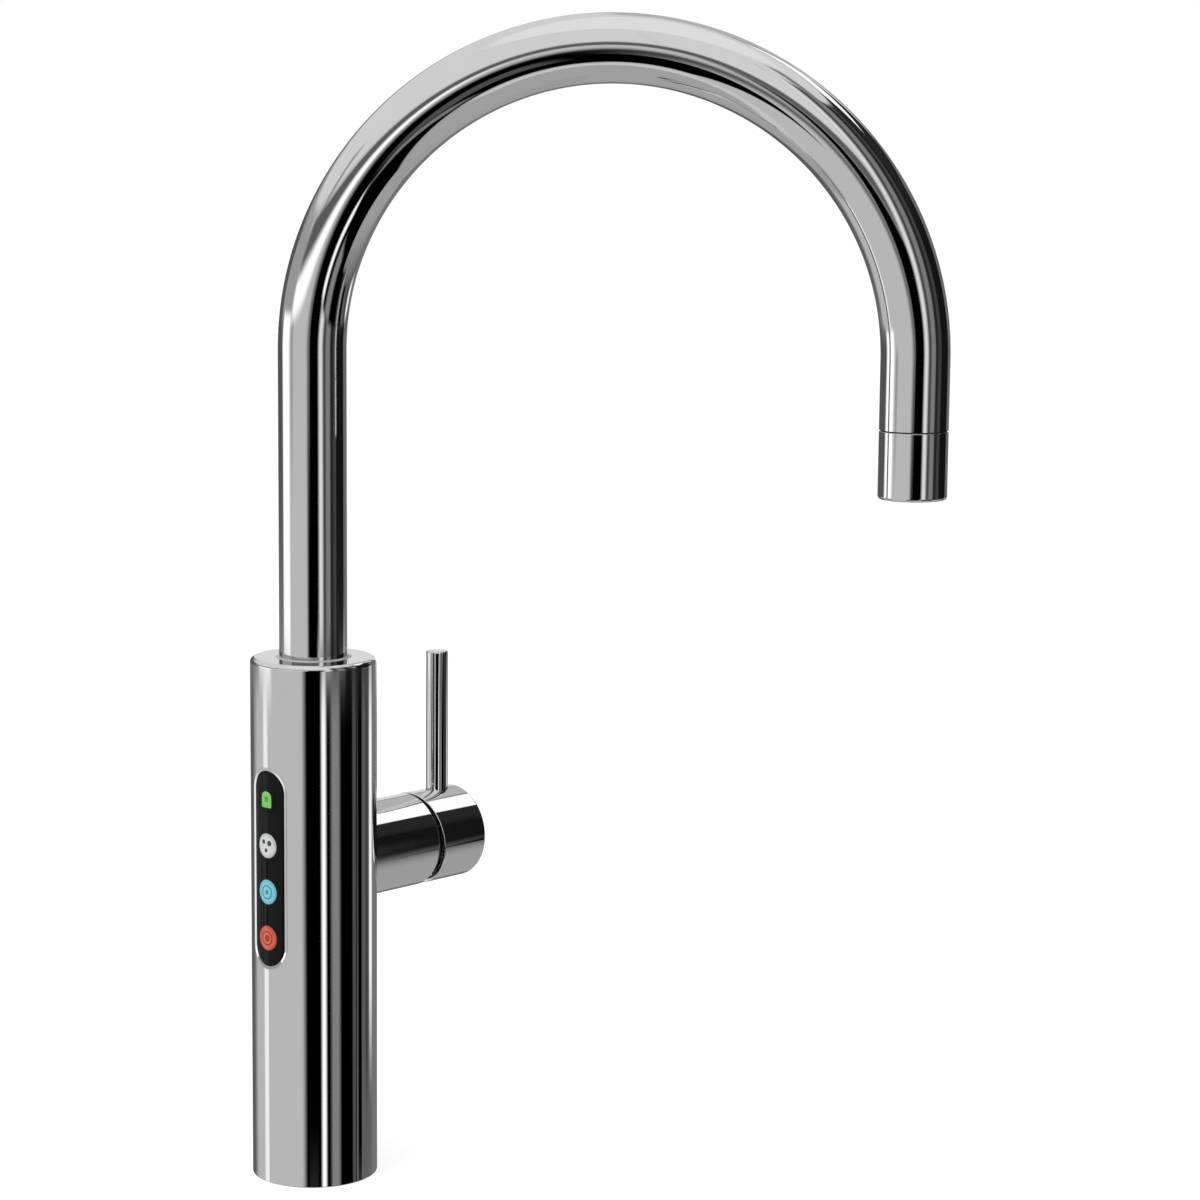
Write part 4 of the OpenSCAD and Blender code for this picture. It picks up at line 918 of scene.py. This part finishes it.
WASHER_R, SOFT_IR, STEEL_IR = 28.0, 16.8, 16.7
WORKTOP_FOOT, SOFT_FOOT = -30.0, -33.0   # the worktop's underside, and the soft washer's
STEEL_FOOT = NUT_Z + NUT_H / 2
washer = lathe([
    (SOFT_IR, SOFT_FOOT, 0.3), (WASHER_R, SOFT_FOOT, 0.8), (WASHER_R, WORKTOP_FOOT, 0.8),
    (SOFT_IR, WORKTOP_FOOT, 0.3),
], 144)
finish("soft_washer", washer, rubber, "column", ["rubber_washer"])
washer = lathe([
    (STEEL_IR, STEEL_FOOT, 0.2), (WASHER_R, STEEL_FOOT, 0.5), (WASHER_R, SOFT_FOOT, 0.3),
    (STEEL_IR, SOFT_FOOT, 0.2),
], 144)
finish("flat_washer", washer, steel, "column", ["steel_washer"])


# ---- inside the column ----
# These pieces keep their CAD shape. The foot plate, screws and fittings are steel or brass,
# the seals rubber, the swivel's parts and the water tubes moulded or extruded plastics.


def dress(material, *nodes):
    """Gives the material to every slot of the CAD nodes."""
    for node in nodes:
        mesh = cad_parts[node].data
        if not mesh.materials:
            mesh.materials.append(material)
        for index in range(len(mesh.materials)):
            mesh.materials[index] = material


red_line = surface(
    "red_water_tube", (0.50, 0.08, 0.05), (0.60, 0.12, 0.08), 300, (0.22, 0.34), 0.000004)
blue_line = surface(
    "blue_water_tube", (0.06, 0.22, 0.50), (0.09, 0.29, 0.60), 300, (0.22, 0.34), 0.000004)
dress(brass, "valve_core", "cartridge_housing", "spout_spigot")
dress(
    steel, "foot_plate", "core_screws", "pivot_pin", "lever_spindle", "aerator_screen",
    "key_switches", "board_screws")
dress(rubber, "foot_gasket", "cable_grommet", "housing_gasket", "port_seals", "spigot_seals")
dress(dark_plastic, "cartridge_nut", "cartridge_rotor", "disc_carrier", "tube_collector")
dress(white_plastic, "cartridge_body", "lower_bush", "mixed_tube")
dress(red_line, "boiling_tube")
dress(blue_line, "filtered_tube")


# ---- inside the cartridge and behind the keys ----
# Two lapped ceramic discs meter the water. Behind the keys lie a flat silicone mat, a green
# laminate board, steel switches and clear lamps. These pieces too keep their CAD shape.

ceramic = surface(
    "alumina_ceramic", (0.74, 0.73, 0.69), (0.82, 0.81, 0.77), 2500, (0.16, 0.26), 0.000002)
silicone = surface(
    "grey_silicone", (0.055, 0.055, 0.062), (0.085, 0.085, 0.092), 900, (0.50, 0.62), 0.00001)
laminate = surface(
    "green_laminate", (0.004, 0.060, 0.024), (0.010, 0.095, 0.040), 1400, (0.25, 0.40), 0.000005,
    (1, 1, 0.25))
lamp_resin = surface(
    "lamp_resin", (0.75, 0.78, 0.70), (0.86, 0.88, 0.80), 700, (0.06, 0.14), 0.000002,
    Transmission_Weight=0.5, IOR=1.5)
dress(ceramic, "fixed_disc", "moving_disc")
dress(silicone, "key_mat")
dress(laminate, "circuit_board")
dress(lamp_resin, "key_lamps")
